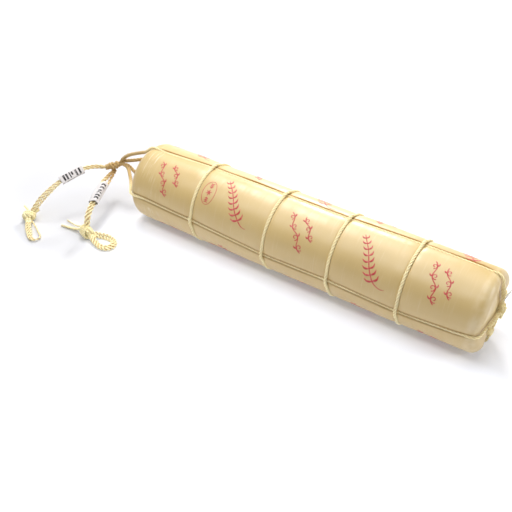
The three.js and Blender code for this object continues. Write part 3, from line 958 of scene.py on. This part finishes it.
def outline(run):
    # the line that is turned about the axis: place along it, radius, outward direction, share of the face
    run = np.asarray(run, float)
    capTurn = np.clip(run / capRun, 0, 1) * quarterTurn
    capOut = unit(np.stack([
        -np.cos(capTurn) / cheese["leftCap"], np.sin(capTurn) / cheese["leftRadius"],
    ], axis=-1))
    bodyX = bodyStart + run - capRun
    leftDrop = (cheese["radius"] - cheese["leftRadius"]) * (1 - smooth(bodyX, bodyStart, -115))
    rightDrop = (cheese["radius"] - cheese["rightRadius"]) * smooth(bodyX, 195, cheese["bodyEnd"])
    cornerTurn = np.clip((run - cornerFrom) / cheese["corner"], 0, quarterTurn)
    face = np.clip((run - faceFrom) / faceRadius, 0, 1)
    where = [run < capRun, run < cornerFrom, run < faceFrom]
    x = np.select(where, [
        cheese["leftPole"] + cheese["leftCap"] * (1 - np.cos(capTurn)), bodyX,
        cheese["bodyEnd"] + cheese["corner"] * np.sin(cornerTurn),
    ], cheese["bodyEnd"] + cheese["corner"] + cheese["dome"] * (1 - (1 - face) ** 2))
    r = np.select(where, [
        cheese["leftRadius"] * np.sin(capTurn), cheese["radius"] - leftDrop - rightDrop,
        faceRadius + cheese["corner"] * np.cos(cornerTurn),
    ], faceRadius * (1 - face))
    outX = np.select(where, [capOut[..., 0], 0.0 * run, np.sin(cornerTurn)], 1.0)
    outR = np.select(where, [capOut[..., 1], 1 + 0.0 * run, np.cos(cornerTurn)], 0.0)
    return x, r, outX, outR, face


def cordAngle(cord, x):
    return np.radians(np.interp(x, heldAt, cord["angles"]))


def sideways(angle, cord, x, r):
    turn = angle - cordAngle(cord, x)
    return np.arctan2(np.sin(turn), np.cos(turn)) * r


def valley(run, angle):
    # a soft valley along each cord, much deeper where the cheese swells out at its right end
    x, r, outX, outR, face = outline(run)
    swell = smooth(x, netPinch["endFrom"], cheese["bodyEnd"] + cheese["corner"] * 0.6)
    width = blendTo(netPinch["bodyWidth"], netPinch["endWidth"], swell)
    onFace = blendTo(1, netPinch["onFace"], smooth(face, 0.05, 0.7))
    depth = blendTo(netPinch["body"] * smooth(run, 20, capRun), netPinch["end"], swell) * onFace
    left = 1.0
    for cord in netCords.values():
        left = left * (1 - np.exp(-((sideways(angle, cord, x, r) / width) ** 2)))
    return depth * (1 - left)


def ringValley(x):
    return sum(ringPinch["depth"] * np.exp(-(((x - at) / ringPinch["width"]) ** 2)) for at, lean in rings)


def pointOn(run, angle, rise):
    x, r, outX, outR, face = outline(run)
    r = r + outR * rise
    shift = smooth(face, 0, 1)
    y = cheese["crossingY"] * shift
    z = blendTo(cheese["axisHeight"], cheese["crossingZ"], shift)
    lean = np.interp(x, heldAt, [0] + [lean for at, lean in rings] + [0]) * np.sin(angle)
    return np.stack([x + outX * rise + lean, y - r * np.cos(angle), z + r * np.sin(angle)], axis=-1)


def cordRise(name, run):
    # height of a net cord's centre line over the outline
    cord = netCords[name]
    run = np.asarray(run, float)
    x, r, outX, outR, face = outline(run)
    seat = blendTo(cadClearance, -cord["sink"], smooth(run, *cord["sunkFrom"]))
    seat = blendTo(seat, cadClearance, smooth(run, cornerFrom - 14, faceFrom))
    rise = seat - valley(run, cordAngle(cord, x))
    if name != "bottom":
        return rise
    offTheGround = (cheese["axisHeight"] - cadClearance) / np.maximum(outR, 0.3) - r
    nearest = np.min([np.abs(x - at) for at, lean in rings], axis=0)
    dip = (bottomDip["reach"] - nearest) / (bottomDip["reach"] - bottomDip["edge"])
    return np.minimum(rise, offTheGround) - bottomDip["depth"] * np.clip(dip, 0, 1)


def ringRise(at, angle):
    # half sunk, over the cords in a low hump, and level with the flat side below
    hump = 0.0
    for name, cord in netCords.items():
        if name != "bottom":
            offset = sideways(angle, cord, at, cheese["radius"]) / ringHump["width"]
            hump = np.maximum(hump, np.exp(-(offset ** 4)))
    over = ringHump["rise"] - netPinch["body"] - netCords["front"]["sink"]
    rise = blendTo(0.3 - ringPinch["depth"], over, hump)
    lowest = (cheese["axisHeight"] - cadClearance + 0.2) / np.maximum(-np.sin(angle), 0.05)
    return np.minimum(rise, lowest - cheese["radius"])


def waves(a, b, seed, count, aLong, bLong):
    # soft irregular relief between -1 and 1, from waves whose lengths lie in the two ranges
    rng = np.random.default_rng(seed)
    total = 0.0
    for index in range(count):
        fa = fullTurn / rng.uniform(*aLong)
        turns = max(round(fullTurn * cheese["radius"] / rng.uniform(*bLong)), 1)
        fb = turns / cheese["radius"] * rng.choice([-1, 1])
        total = total + np.sin(a * fa + b * fb + rng.uniform(0, fullTurn))
    return total / math.sqrt(count)


casingRelief = {"streak": 0.05, "shoulder": 0.26, "pleat": 0.5, "dent": 0.22}


def relief(run, angle):
    # wrinkles that run round the casing, close ones on the left shoulder, pleats on the right face
    face = outline(run)[-1]
    arc = angle * cheese["radius"]
    streaks = waves(run, arc, 11, 9, (5.0, 14.0), (60, 240))
    slow = waves(run, arc, 5, 5, (70, 180), (60, 200))
    close = waves(run, arc, 23, 8, (3.8, 6.5), (50, 140))
    patch = np.clip(0.55 + 0.6 * waves(run, arc, 31, 4, (18, 50), (24, 60)), 0, 1)
    onShoulder = smooth(run, 26, 50) * (1 - smooth(run, 74, 112))
    above = 0.35 + 0.65 * smooth(np.sin(angle), -0.1, 0.6)
    pleatPhase = 15 * angle + 1.4 * waves(run, arc, 41, 4, (30, 90), (40, 90))
    pleats = (np.sin(pleatPhase) + 0.5 * np.sin(2 * pleatPhase + 1)) * smooth(face, 0.05, 0.85)
    pleats = pleats * (1 - smooth(face, 0.9, 1.0))
    return (
        casingRelief["streak"] * streaks * smooth(run, 8, 40) * (1 - smooth(face, 0.1, 0.5))
        + casingRelief["dent"] * slow * smooth(run, 30, 90) * (1 - smooth(face, 0.0, 0.3))
        + casingRelief["shoulder"] * close * patch * onShoulder * above
        + casingRelief["pleat"] * pleats
    )


def skinRise(run, angle):
    x, r, outX, outR, face = outline(run)
    rise = relief(run, angle) - valley(run, angle) - np.where(face > 0, 0, ringValley(x))
    for name, cord in netCords.items():
        offset = sideways(angle, cord, x, r)
        under = cordRise(name, run) - np.sqrt(np.maximum(clearance ** 2 - offset ** 2, 0))
        held = (np.abs(offset) < clearance) & (run > cord["lands"])
        rise = np.where(held, np.minimum(rise, under), rise)
    for at, lean in rings:
        offset = x - at
        under = ringRise(at, angle) - np.sqrt(np.maximum(clearance ** 2 - offset ** 2, 0))
        rise = np.where(np.abs(offset) < clearance, np.minimum(rise, under), rise)
    return rise


def skinPoints(run, angle, lift=0.0):
    points = pointOn(run, angle, skinRise(run, angle) + lift)
    points[..., 2] = np.maximum(points[..., 2], 0)
    return points


def cheeseRows():
    # even rows, with closer ones in the grooves under the rings
    step = cheese["rowStep"]
    rows = np.arange(step, faceFrom + faceRadius - step / 2, step)
    close = np.array([-1.6, -1.12, -0.97, -0.75, -0.4, 0, 0.4, 0.75, 0.97, 1.12, 1.6]) * clearance
    for at, lean in rings:
        middle = capRun + at - bodyStart
        rows = np.concatenate([rows[np.abs(rows - middle) > close[-1] + step * 0.6], middle + close])
    return np.sort(rows)


def cheeseColumns(rows):
    # angles for each row: close beside every cord, even between them
    x, r, outX, outR, face = outline(rows)
    across = np.array([0.4, 0.75, 0.97, 1.12, 1.55, 2.2, 3.0, 4.0]) * clearance
    offsets = np.concatenate([-across[::-1], [0], across])
    # a cord's band narrows with the row, so that bands never meet near the poles
    reach = np.minimum(1 / np.maximum(r, 1), 0.6 / across[-1])
    cords = list(netCords.values())
    columns = []
    for index, cord in enumerate(cords):
        last = index == len(cords) - 1
        here = cordAngle(cord, x)
        there = cordAngle(cords[0], x) + fullTurn if last else cordAngle(cords[index + 1], x)
        columns.extend(here + offset * reach for offset in offsets)
        low, high = here + across[-1] * reach, there - across[-1] * reach
        shares = np.linspace(0, 1, cheese["betweenCords"] + 2)[1:-1]
        columns.extend(blendTo(low, high, share) for share in shares)
    return np.stack(columns, axis=1)


# How far from a cord's middle the painted shade line runs, and how dark it is above and below each cord.
creaseShadeLook = {
    "at": 2.75, "width": 1.4, "ring": 0.06, "handover": 12,
    "front": (0.95, 0.5), "top": (1.0, 0.2), "back": (0.7, 0.7), "bottom": (0.5, 0.5),
}


def creases(runs, angles):
    # painted shade: how dark the casing is painted where it meets the cords and rings, for the shadow in the
    # grooves beside them
    x, r, outX, outR, face = outline(runs)
    dark = 0.0

    def line(offset, strength):
        return strength * np.exp(-(((np.abs(offset) - creaseShadeLook["at"]) / creaseShadeLook["width"]) ** 2))

    for name, cord in netCords.items():
        ends = 1 - smooth(runs, cornerFrom - creaseShadeLook["handover"], faceFrom)
        held = smooth(runs, *cord["sunkFrom"]) * ends
        offset = sideways(angles, cord, x, r)
        above, below = creaseShadeLook[name]
        dark = np.maximum(dark, line(offset, np.where(offset > 0, above, below) * held))
    for at, lean in rings:
        dark = np.maximum(dark, line(x - at, creaseShadeLook["ring"]))
    return dark


def cheesePiece():
    rows = cheeseRows()
    angles = cheeseColumns(rows)
    runs = np.repeat(rows[:, None], angles.shape[1], axis=1)
    points = skinPoints(runs, angles)
    count, columns = angles.shape
    lastRun = faceFrom + faceRadius
    left, right = skinPoints(np.array([0.0, lastRun]), np.array([0.0, 0.0]))
    vertices = np.concatenate([points.reshape(-1, 3), left[None], right[None]])
    faces = tubeFaces(count, columns)
    leftPole, rightPole = count * columns, count * columns + 1
    lastRow = (count - 1) * columns
    for column in range(columns):
        beside = (column + 1) % columns
        faces.append((leftPole, beside, column))
        faces.append((rightPole, lastRow + column, lastRow + beside))
    skin = np.stack([runs, angles * cheese["radius"]], axis=-1).reshape(-1, 2)
    uvs = np.concatenate([skin, [(0, 0), (lastRun, 0)]]) * mm
    piece = newPiece("cheese_in_casing", vertices, faces, casing, uvs, "skin")
    # the painted shade beside cords and rings goes onto the mesh as a point attribute
    dark = np.concatenate([creases(runs, angles).ravel(), [0, 0]])
    piece.data.attributes.new("creaseShade", "FLOAT", "POINT").data.foreach_set("value", dark)
    print("casing mesh:", count, "rows,", columns, "columns")
    return piece


casingPiece = cheesePiece()
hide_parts("cheese")
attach(casingPiece, "root")
print("cheese made")


# ---- the net: long cords, rings and knots

def longCordLine(name):
    cord = netCords[name]
    first = np.array(cord["free"], float)
    firstRun = cord["lands"] + (8 if name != "bottom" else 6)
    lastRun = faceFrom + 0.86 * faceRadius
    runs = np.concatenate([np.arange(firstRun, cornerFrom, 1.5), np.linspace(cornerFrom, lastRun, 40)])
    x = outline(runs)[0]
    held = pointOn(runs, cordAngle(cord, x), cordRise(name, runs))
    joined = smoothRoute(np.concatenate([first, held[:1]]), 1.5)
    return np.concatenate([joined[:-1], held])


def ringLine(at):
    angle = np.linspace(0, fullTurn, 230, endpoint=False)
    run = np.full_like(angle, capRun + at - bodyStart)
    return pointOn(run, angle, ringRise(at, angle))


# The long cords are thicker where nothing pulls them tight.
cordThickness = {"held": 0.86, "free": 1.32, "change": 30, "tie": 0.64}

# Shares of the face between which a second strand turns about the cord, and how far it stands off.
faceTies = {
    "front": {"from": 0.3, "to": 0.86, "off": 1.8},
    "top": {"from": 0.02, "to": 0.86, "off": 1.2},
}


def faceTie(name, tie):
    runs = faceFrom + np.linspace(tie["from"], tie["to"], 40) * faceRadius
    x = outline(runs)[0]
    line = pointOn(runs, cordAngle(netCords[name], x), cordRise(name, runs) + tie["off"])
    return wound(line, 1.0, 13.0, 2, 0.2)


def tieNet():
    pieces = []
    for name in netCords:
        strands = [longCordLine(name)]
        if name in faceTies:
            strands.extend(faceTie(name, faceTies[name]))
        thick = [np.full(len(strand), cordThickness["tie"]) for strand in strands]
        onCheese = smooth(strands[0][:, 0], bodyStart - cordThickness["change"], bodyStart)
        thick[0] = blendTo(cordThickness["free"], cordThickness["held"], onCheese)
        piece = twinePiece(f"net_cord_{name}", strands, thick=thick)
        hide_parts(f"long_cord_{name}")
        pieces.append(piece)
    for index, (at, lean) in enumerate(rings):
        piece = twinePiece(f"net_ring_{index + 1}", [ringLine(at)], closed=True)
        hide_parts(f"ring_cord_{index + 1}")
        pieces.append(piece)
    for piece in pieces:
        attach(piece, "root")


tieNet()
print("net tied")

gather = {
    "from": (-287.6, 2.6, 54.1), "to": (-302, -16.2, 52.9), "strand": 1.9, "span": 20, "apart": 2.1,
    "wraps": [
        {"shift": -4.5, "length": 5, "radius": 4.1, "turns": 1.5, "start": 0.1, "lean": 1.8, "thick": 1.0},
        {"shift": 1.0, "length": 5, "radius": 4.0, "turns": 1.3, "start": 0.65, "lean": -1.9, "thick": 0.95},
        {"shift": 7.2, "length": 8, "radius": 3.4, "turns": 3.6, "start": 0.3, "lean": 1.2, "thick": 0.62},
    ],
}
endKnots = {
    "centre_knot": {
        "centre": (298.8, 7.2, 56.4), "strand": 1.75,
        "wraps": wraps(
            ((0.1, 0.4, 0.9), 3.6, 3, 3.4, 1.4, 0.2, 1.4),
            ((0.3, -0.75, 0.6), 0.2, 3, 3.5, 1.3, 0.7, 1.2),
            ((0.1, 0.5, 0.85), -5, 3, 3.2, 1.3, 0.45, -1.4),
        ),
        "core": [(298.8, 3.4, 47.6), (299.4, 5.6, 52), (299.6, 7.2, 56.4), (299.2, 9, 61),
            (298.6, 10, 65)],
    },
    "side_knot": {
        "centre": (299.6, -28.9, 50.6), "strand": 1.2,
        "wraps": wraps(
            ((0.1, 0.7, 0.3), 0, 3.0, 2.3, 1.8, 0.3, 1.0),
            ((0.3, -0.3, 0.9), 0.3, 2, 2.2, 1.1, 0.6, 0.8),
        ),
        "core": [(299.2, -33.4, 49.4), (299.8, -30, 50.2), (299.9, -27, 50.9), (299.6, -23.5, 51.6)],
    },
}


def gatherPiece():
    # the four long cords run together, cross through the knot and leave as the two tails
    a, b = np.array(gather["from"], float), np.array(gather["to"], float)
    axis, middle = unit(b - a), (a + b) / 2
    cross = unit(np.cross(axis, [0, 0, 1.0]))
    upper = np.cross(cross, axis)
    strands, thick = [], []
    for wrap in gather["wraps"]:
        strands.append(coil(
            middle + wrap["shift"] * axis, axis, wrap["length"], wrap["radius"], wrap["turns"],
            wrap["start"], wrap["lean"],
        ))
        thick.append(np.full(len(strands[-1]), wrap["thick"]))
    for index, (name, cord) in enumerate(netCords.items()):
        tail = tails[index % 2]["route"]
        first = np.array(cord["free"][:2], float)
        angle = fullTurn * (index / 4 + 0.1)
        inside = [
            middle + share * axis * gather["span"]
            + gather["apart"] * (math.cos(angle + turn) * cross + math.sin(angle + turn) * upper)
            for share, turn in ((-0.45, 0), (-0.1, 0.7), (0.2, 1.3))
        ]
        route = [first[1], first[0]] + inside + [np.array(tail[0], float), np.array(tail[1], float)]
        strands.append(smoothRoute(route, 1.3))
        thick.append(np.full(len(strands[-1]), 1.1))
    return twinePiece("gather_wrap", strands, gather["strand"], 10.0, thick=thick)


knotPieces = {"gather_knot": gatherPiece()}
for knotName, knotLook in endKnots.items():
    knotPieces[knotName] = hangKnotPiece(f"tied_{knotName}", knotLook)
for nodeName, piece in knotPieces.items():
    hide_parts(nodeName)
    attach(piece, "root")
print("knots tied")


# ---- the loose end of the casing film

filmFan = {
    "at": (299.6, 3.5, 73.8), "tip": (303, 8.6, 86.6), "root": 2.4, "width": 22,
    "thickness": 0.35, "ripple": 1.3, "rows": 16, "across": 22,
}


def filmPiece(look):
    start, tip = np.array(look["at"], float), np.array(look["tip"], float)
    lineTo = unit(tip - start)
    across = unit(np.cross(lineTo, [1.0, 0, 0]))
    out = np.cross(across, lineTo)
    length = float(np.linalg.norm(tip - start))
    rows, half = look["rows"], look["across"]
    share = np.linspace(0, 1, rows)[:, None]
    side = np.linspace(-1, 1, half)[None, :]
    ripple = look["ripple"] * share * np.sin(side * 5.5 + 0.8 * np.sin(3 * side) + share)
    ragged = 1 + 0.06 * np.sin(side * 9) * share
    wide = blendTo(look["root"], look["width"], share) / 2 * side
    sheet = (
        start + (share * length * ragged)[..., None] * lineTo
        + wide[..., None] * across + ripple[..., None] * out
    )
    top, under = sheet + out * look["thickness"] / 2, sheet - out * look["thickness"] / 2
    ring = np.concatenate([top, under[:, ::-1]], axis=1)
    columns = ring.shape[1]
    faces = tubeFaces(rows, columns)
    for row in (0, rows - 1):
        for column in range(half - 1):
            a = row * columns + column
            c = row * columns + columns - 1 - column
            faces.append((a, a + 1, c - 1, c))
    return newPiece("casing_end", ring.reshape(-1, 3), faces, film)


filmEnd = filmPiece(filmFan)
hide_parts("casing_tail")
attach(filmEnd, "root")
print("film end made")


# ---- the print: sprigs and scrolls as thin strokes on the casing

printLook = {"lift": 0.16, "sunk": 0.25}
strokeSection = (
    (-1, -printLook["sunk"]), (-0.8, printLook["lift"]), (0.8, printLook["lift"]),
    (1, -printLook["sunk"]),
)


class Stamp:
    # collects strokes drawn in millimetres on the unrolled casing: x along, s round

    def __init__(self):
        self.vertices = []
        self.faces = []

    def stroke(self, points, width):
        # a closed ribbon that follows the casing; width is one number or one for each point
        points = np.asarray(points, float)
        wide = np.broadcast_to(np.asarray(width, float), (len(points),)) / 2
        ahead = unit(np.gradient(points, axis=0))
        side = np.stack([-ahead[:, 1], ahead[:, 0]], axis=1)
        rows = []
        for across, lift in strokeSection:
            flat = points + side * (wide * across)[:, None]
            run = capRun + flat[:, 0] - bodyStart
            rows.append(skinPoints(run, flat[:, 1] / cheese["radius"], lift))
        ring = np.stack(rows, axis=1)
        first = len(self.vertices)
        self.vertices.extend(ring.reshape(-1, 3).tolist())
        count = len(points)
        self.faces.extend(tubeFaces(count, 4, first))
        self.faces.append(tuple(first + k for k in (3, 2, 1, 0)))
        self.faces.append(tuple(first + (count - 1) * 4 + k for k in (0, 1, 2, 3)))


def unrolled(spot):
    return np.array([spot[0], math.radians(spot[1]) * cheese["radius"]])


def placed(points, start, end):
    # local points, u from start towards end and v to its left, on the unrolled casing
    a, b = unrolled(start), unrolled(end)
    along = unit(b - a)
    left = np.array([-along[1], along[0]])
    points = np.asarray(points, float)
    return a + points[:, :1] * along + points[:, 1:] * left


def arcPoints(centre, radius, startAngle, endAngle, shrink=1.0, count=12):
    angle = np.radians(np.linspace(startAngle, endAngle, count))
    reach = radius * np.linspace(1, shrink, count)
    return np.stack([centre[0] + reach * np.cos(angle), centre[1] + reach * np.sin(angle)], axis=1)


def leafShape(root, direction, length, bend=0.2, count=9):
    # the midrib of a leaf and the widths that fill it out
    share = np.linspace(0, 1, count)
    angle = math.radians(direction)
    along = np.array([math.cos(angle), math.sin(angle)])
    left = np.array([-along[1], along[0]])
    points = np.asarray(root, float) + length * (
        share[:, None] * along + (bend * np.sin(math.pi * share))[:, None] * left
    )
    return points, 0.3 + np.sin(math.pi * share ** 0.75) ** 1.1


def scrollRow(stamp, start, end, height, weight, grows=1.0):
    # a running vine: its stem waves, and each bend holds a curl that ends in a bud
    length = float(np.linalg.norm(unrolled(end) - unrolled(start)))
    bends = max(round(length / (1.15 * height)), 2)
    pace = length / bends
    u = np.linspace(0, length, bends * 14)
    wave = 0.24 * height * blendTo(1, grows, u / length) * np.sin(math.pi * u / pace)
    stamp.stroke(placed(np.stack([u, wave], axis=1), start, end), weight)
    for index in range(bends):
        side = -1 if index % 2 else 1
        size = height * blendTo(1, grows, index / bends)
        centre = ((index + 0.5) * pace, -side * 0.1 * size)
        curl = arcPoints(centre, 0.36 * size, 200 * side, -170 * side, 0.26, 26)
        stamp.stroke(placed(curl, start, end), weight * np.linspace(1.0, 0.8, 26))
        stamp.stroke(placed([curl[-1], curl[-1] + (0.5, 0.3)], start, end), weight * 1.6)
        root = ((index + 0.5) * pace, side * 0.22 * size)
        leaf, widths = leafShape(root, side * 38, 0.44 * size, 0.18 * side)
        stamp.stroke(placed(leaf, start, end), widths * weight * 1.3)


def sprig(stamp, start, end, height, weight, foot):
    # a bough with pairs of leaves that grow smaller towards its tip, and a long curved foot
    length = float(np.linalg.norm(unrolled(end) - unrolled(start)))
    u = np.linspace(0, length, 34)
    stem = np.stack([u, 0.07 * height * np.sin(fullTurn * u / length * 1.2)], axis=1)
    stamp.stroke(placed(stem, start, end), weight * np.linspace(1.2, 0.7, len(u)))
    count = 8
    for index in range(count):
        share = (index + 0.3) / count
        size = height * blendTo(0.74, 0.36, share)
        for side in (1, -1):
            root = (share * length, 0.07 * height * math.sin(fullTurn * share * 1.2))
            points, widths = leafShape(root, side * blendTo(62, 44, share), size, 0.2 * side)
            stamp.stroke(placed(points, start, end), widths * weight * blendTo(1.5, 1.05, share))
    share = np.linspace(0, 1, 16)
    sag = np.stack([0 * share, -2.2 * np.sin(math.pi * share)], axis=1)
    line = blendTo(unrolled(start), unrolled(foot), share[:, None]) + sag
    stamp.stroke(line, weight * np.linspace(1.1, 0.4, 16))


def wreath(stamp, centre, radiusAlong, radiusRound, weight):
    # an oval frame round a flower between two small leaves
    middle = unrolled(centre)
    scale = np.array([radiusAlong, radiusRound])
    turn = np.radians(np.linspace(0, 360, 61))
    oval = np.stack([np.cos(turn), np.sin(turn)], axis=1)
    stamp.stroke(middle + oval * scale, weight)
    for index in range(6):
        points, widths = leafShape(middle, index * 60 + 15, 0.5 * radiusAlong, 0.12)
        stamp.stroke(points, widths * weight * 1.5)
    for side in (1, -1):
        stamp.stroke(middle + np.array([(0, side * 0.36), (0, side * 0.8)]) * scale, weight * 0.8)
        for index in range(3):
            root = middle + np.array([0, side * (0.38 + 0.15 * index)]) * scale
            for hand in (1, -1):
                points, widths = leafShape(root, side * 90 - hand * 52, 0.42 * radiusAlong, 0.15 * hand)
                stamp.stroke(points, widths * weight * 1.3)


# Each motif lies on one of four rows round the cheese, which are shifted along it by turns.
printRows = [(0, 0), (87, -104), (172, 8), (252, 3)]  # turn in degrees, shift along
printReach = (-200, 268)
blockLines = [
    ((-159.9, 23), (-185.1, 71), (-145.4, 42), (-163.4, 73)),
    ((55.6, 21), (25.6, 70), (66.6, 40), (46.6, 70)),
    ((233.6, 24), (217.1, 78), (249.1, 37), (234.6, 75)),
]
sprigs = [((-40.4, 29), (-76.9, 81), (-28, 23)), ((157.4, 21), (127, 78), (173.2, 17))]
wreaths = [(-95.4, 52)]


def printPiece():
    stamp = Stamp()

    def shifted(spots, row, extra=0.0):
        spots = [(spot[0] + row[1] + extra, spot[1] + row[0]) for spot in spots]
        return spots if all(printReach[0] < spot[0] < printReach[1] + 6 for spot in spots) else None

    for row in printRows:
        for extra in ((0, 200) if row[1] < -50 else (0,)):
            for index, lines in enumerate(blockLines):
                spots = shifted(lines, row, extra)
                if spots and (extra == 0 or index == 2):
                    scrollRow(stamp, spots[0], spots[1], 12.5, 1.5, 0.76)
                    scrollRow(stamp, spots[2], spots[3], 11, 1.5, 0.85)
            for index, lines in enumerate(sprigs):
                spots = shifted(lines, row, extra)
                if spots and (extra == 0 or index == 1):
                    sprig(stamp, spots[0], spots[1], 15, 1.75, spots[2])
        for spot in wreaths:
            spots = shifted([spot], row)
            if spots:
                wreath(stamp, spots[0], 9.3, 16.5, 0.9)
    return newPiece("casing_print", stamp.vertices, stamp.faces, ink)


prints = printPiece()
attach(prints, "root")
print("print laid on the casing")


# ---- floor and light

studio = {
    "floor": {
        "size": 8.0, "pale": shade(236, 236, 239), "dim": shade(209, 209, 212),
        "dimEdge": (-0.26, -0.2), "dimSides": (0.15, 0.22),
        # how strongly it glows: beside the cheese, a hand's breadth off, round about and far away
        "glow": (0.78, 0.85, 1.0, 1), "dark": (0, 0, 0, 1), "white": (1, 1, 1, 1),
        "beside": 0.25, "off": 0.48, "round": 0.3, "far": 0.7,
        # where each of those gives way to the next
        "besideTo": (0.027, 0.062), "offTo": (0.09, 0.16), "left": (-0.295, -0.215), "right": (0.31, 0.39),
        "ovalMiddle": -0.05, "oval": (0.37, 0.18), "ovalTo": (1.0, 2.2), "farTo": (0.3, 1.7),
    },
    "horizon": {"to": 0.06, "gone": 0.16, "strength": 0.7, "tone": (0.98, 0.99, 1.0)},
    "lamps": {  # place, what it points at, width and depth, watts
        "strip": ((-0.26, -0.5, 1.1), (-0.26, 0, 0), (1.4, 0.3), 6.7),
        "fill": ((-0.1, 0.2, 1.1), (-0.1, 0, 0), (1.2, 0.9), 9.2),
        "key": ((-0.5, 0.42, 1.1), (0, 0, 0), (0.3, 0.3), 6.0),
        "rear": ((-0.62, 1.65, 0.98), (0, 0, 0), (0.34, 0.3), 22.5),
        "side": ((1.25, 0.38, 0.55), (0.3, 0, 0.05), (0.5, 0.5), 5.6),
    },
}


def makeStudio(look):
    ground = look["floor"]
    half = ground["size"] / 2
    mesh = bpy.data.meshes.new("floor")
    corners = [(-half, -half, 0), (half, -half, 0), (half, half, 0), (-half, half, 0)]
    mesh.from_pydata(corners, [], [(0, 1, 2, 3)])
    material, shader, place = newMaterial("floor", {
        "Roughness": 0.9, "Specular IOR Level": 0.0, "Emission Strength": 1.0,
    })
    x, y = place.part(0), place.part(1)
    dim = (1 - x.between(*ground["dimEdge"])) * (1 - y.size().between(*ground["dimSides"]))
    plugIn(place.plain(ground["pale"]).tint(dim, ground["dim"]), shader.inputs["Base Color"])
    # painted light: the floor glows, most beside the cheese, which lightens the shadow there and keeps it
    # short and soft, and glows white far off
    aside = y.size()
    near = ground["beside"] + (ground["off"] - ground["beside"]) * aside.between(*ground["besideTo"])
    near = near * (1 - aside.between(*ground["offTo"]))
    near = near * x.between(*ground["left"]) * (1 - x.between(*ground["right"]))
    wide, deep = ground["oval"]
    offX, offY = (x - ground["ovalMiddle"]) * (1 / wide), y * (1 / deep)
    away = (offX * offX + offY * offY).between(*ground["ovalTo"]) * ground["round"]
    lit = place.plain(ground["dark"]).tint(near + away, ground["glow"])
    distant = (x * x + y * y).between(*ground["farTo"]) * ground["far"]
    plugIn(lit.tint(distant, ground["white"]), shader.inputs["Emission Color"])
    mesh.materials.append(material)
    floor = link(bpy.data.objects.new("floor", mesh))
    floor.location.z = -0.0002
    for name, (spot, aim, size, power) in look["lamps"].items():
        data = bpy.data.lights.new(name, "AREA")
        data.shape = "RECTANGLE"
        data.size, data.size_y = size
        data.energy = power
        lamp = link(bpy.data.objects.new(name, data))
        lamp.location = spot
        lamp.rotation_euler = (Vector(aim) - Vector(spot)).to_track_quat("-Z", "Y").to_euler()
        lamp.visible_camera = False
    # a dark room with a pale horizon
    world = bpy.data.worlds.new("studio")
    world.use_nodes = True
    nodes = world.node_tree.nodes
    back = nodes["Background"]
    low = look["horizon"]
    back.inputs["Color"].default_value = (*low["tone"], 1)
    up = Wire(nodes.new("ShaderNodeTexCoord").outputs["Generated"]).part(2)
    plugIn((1 - up.between(low["to"], low["gone"])) * low["strength"], back.inputs["Strength"])
    bpy.context.scene.world = world
    bpy.context.scene.view_settings.view_transform = "Standard"


makeStudio(studio)
print("studio lit")
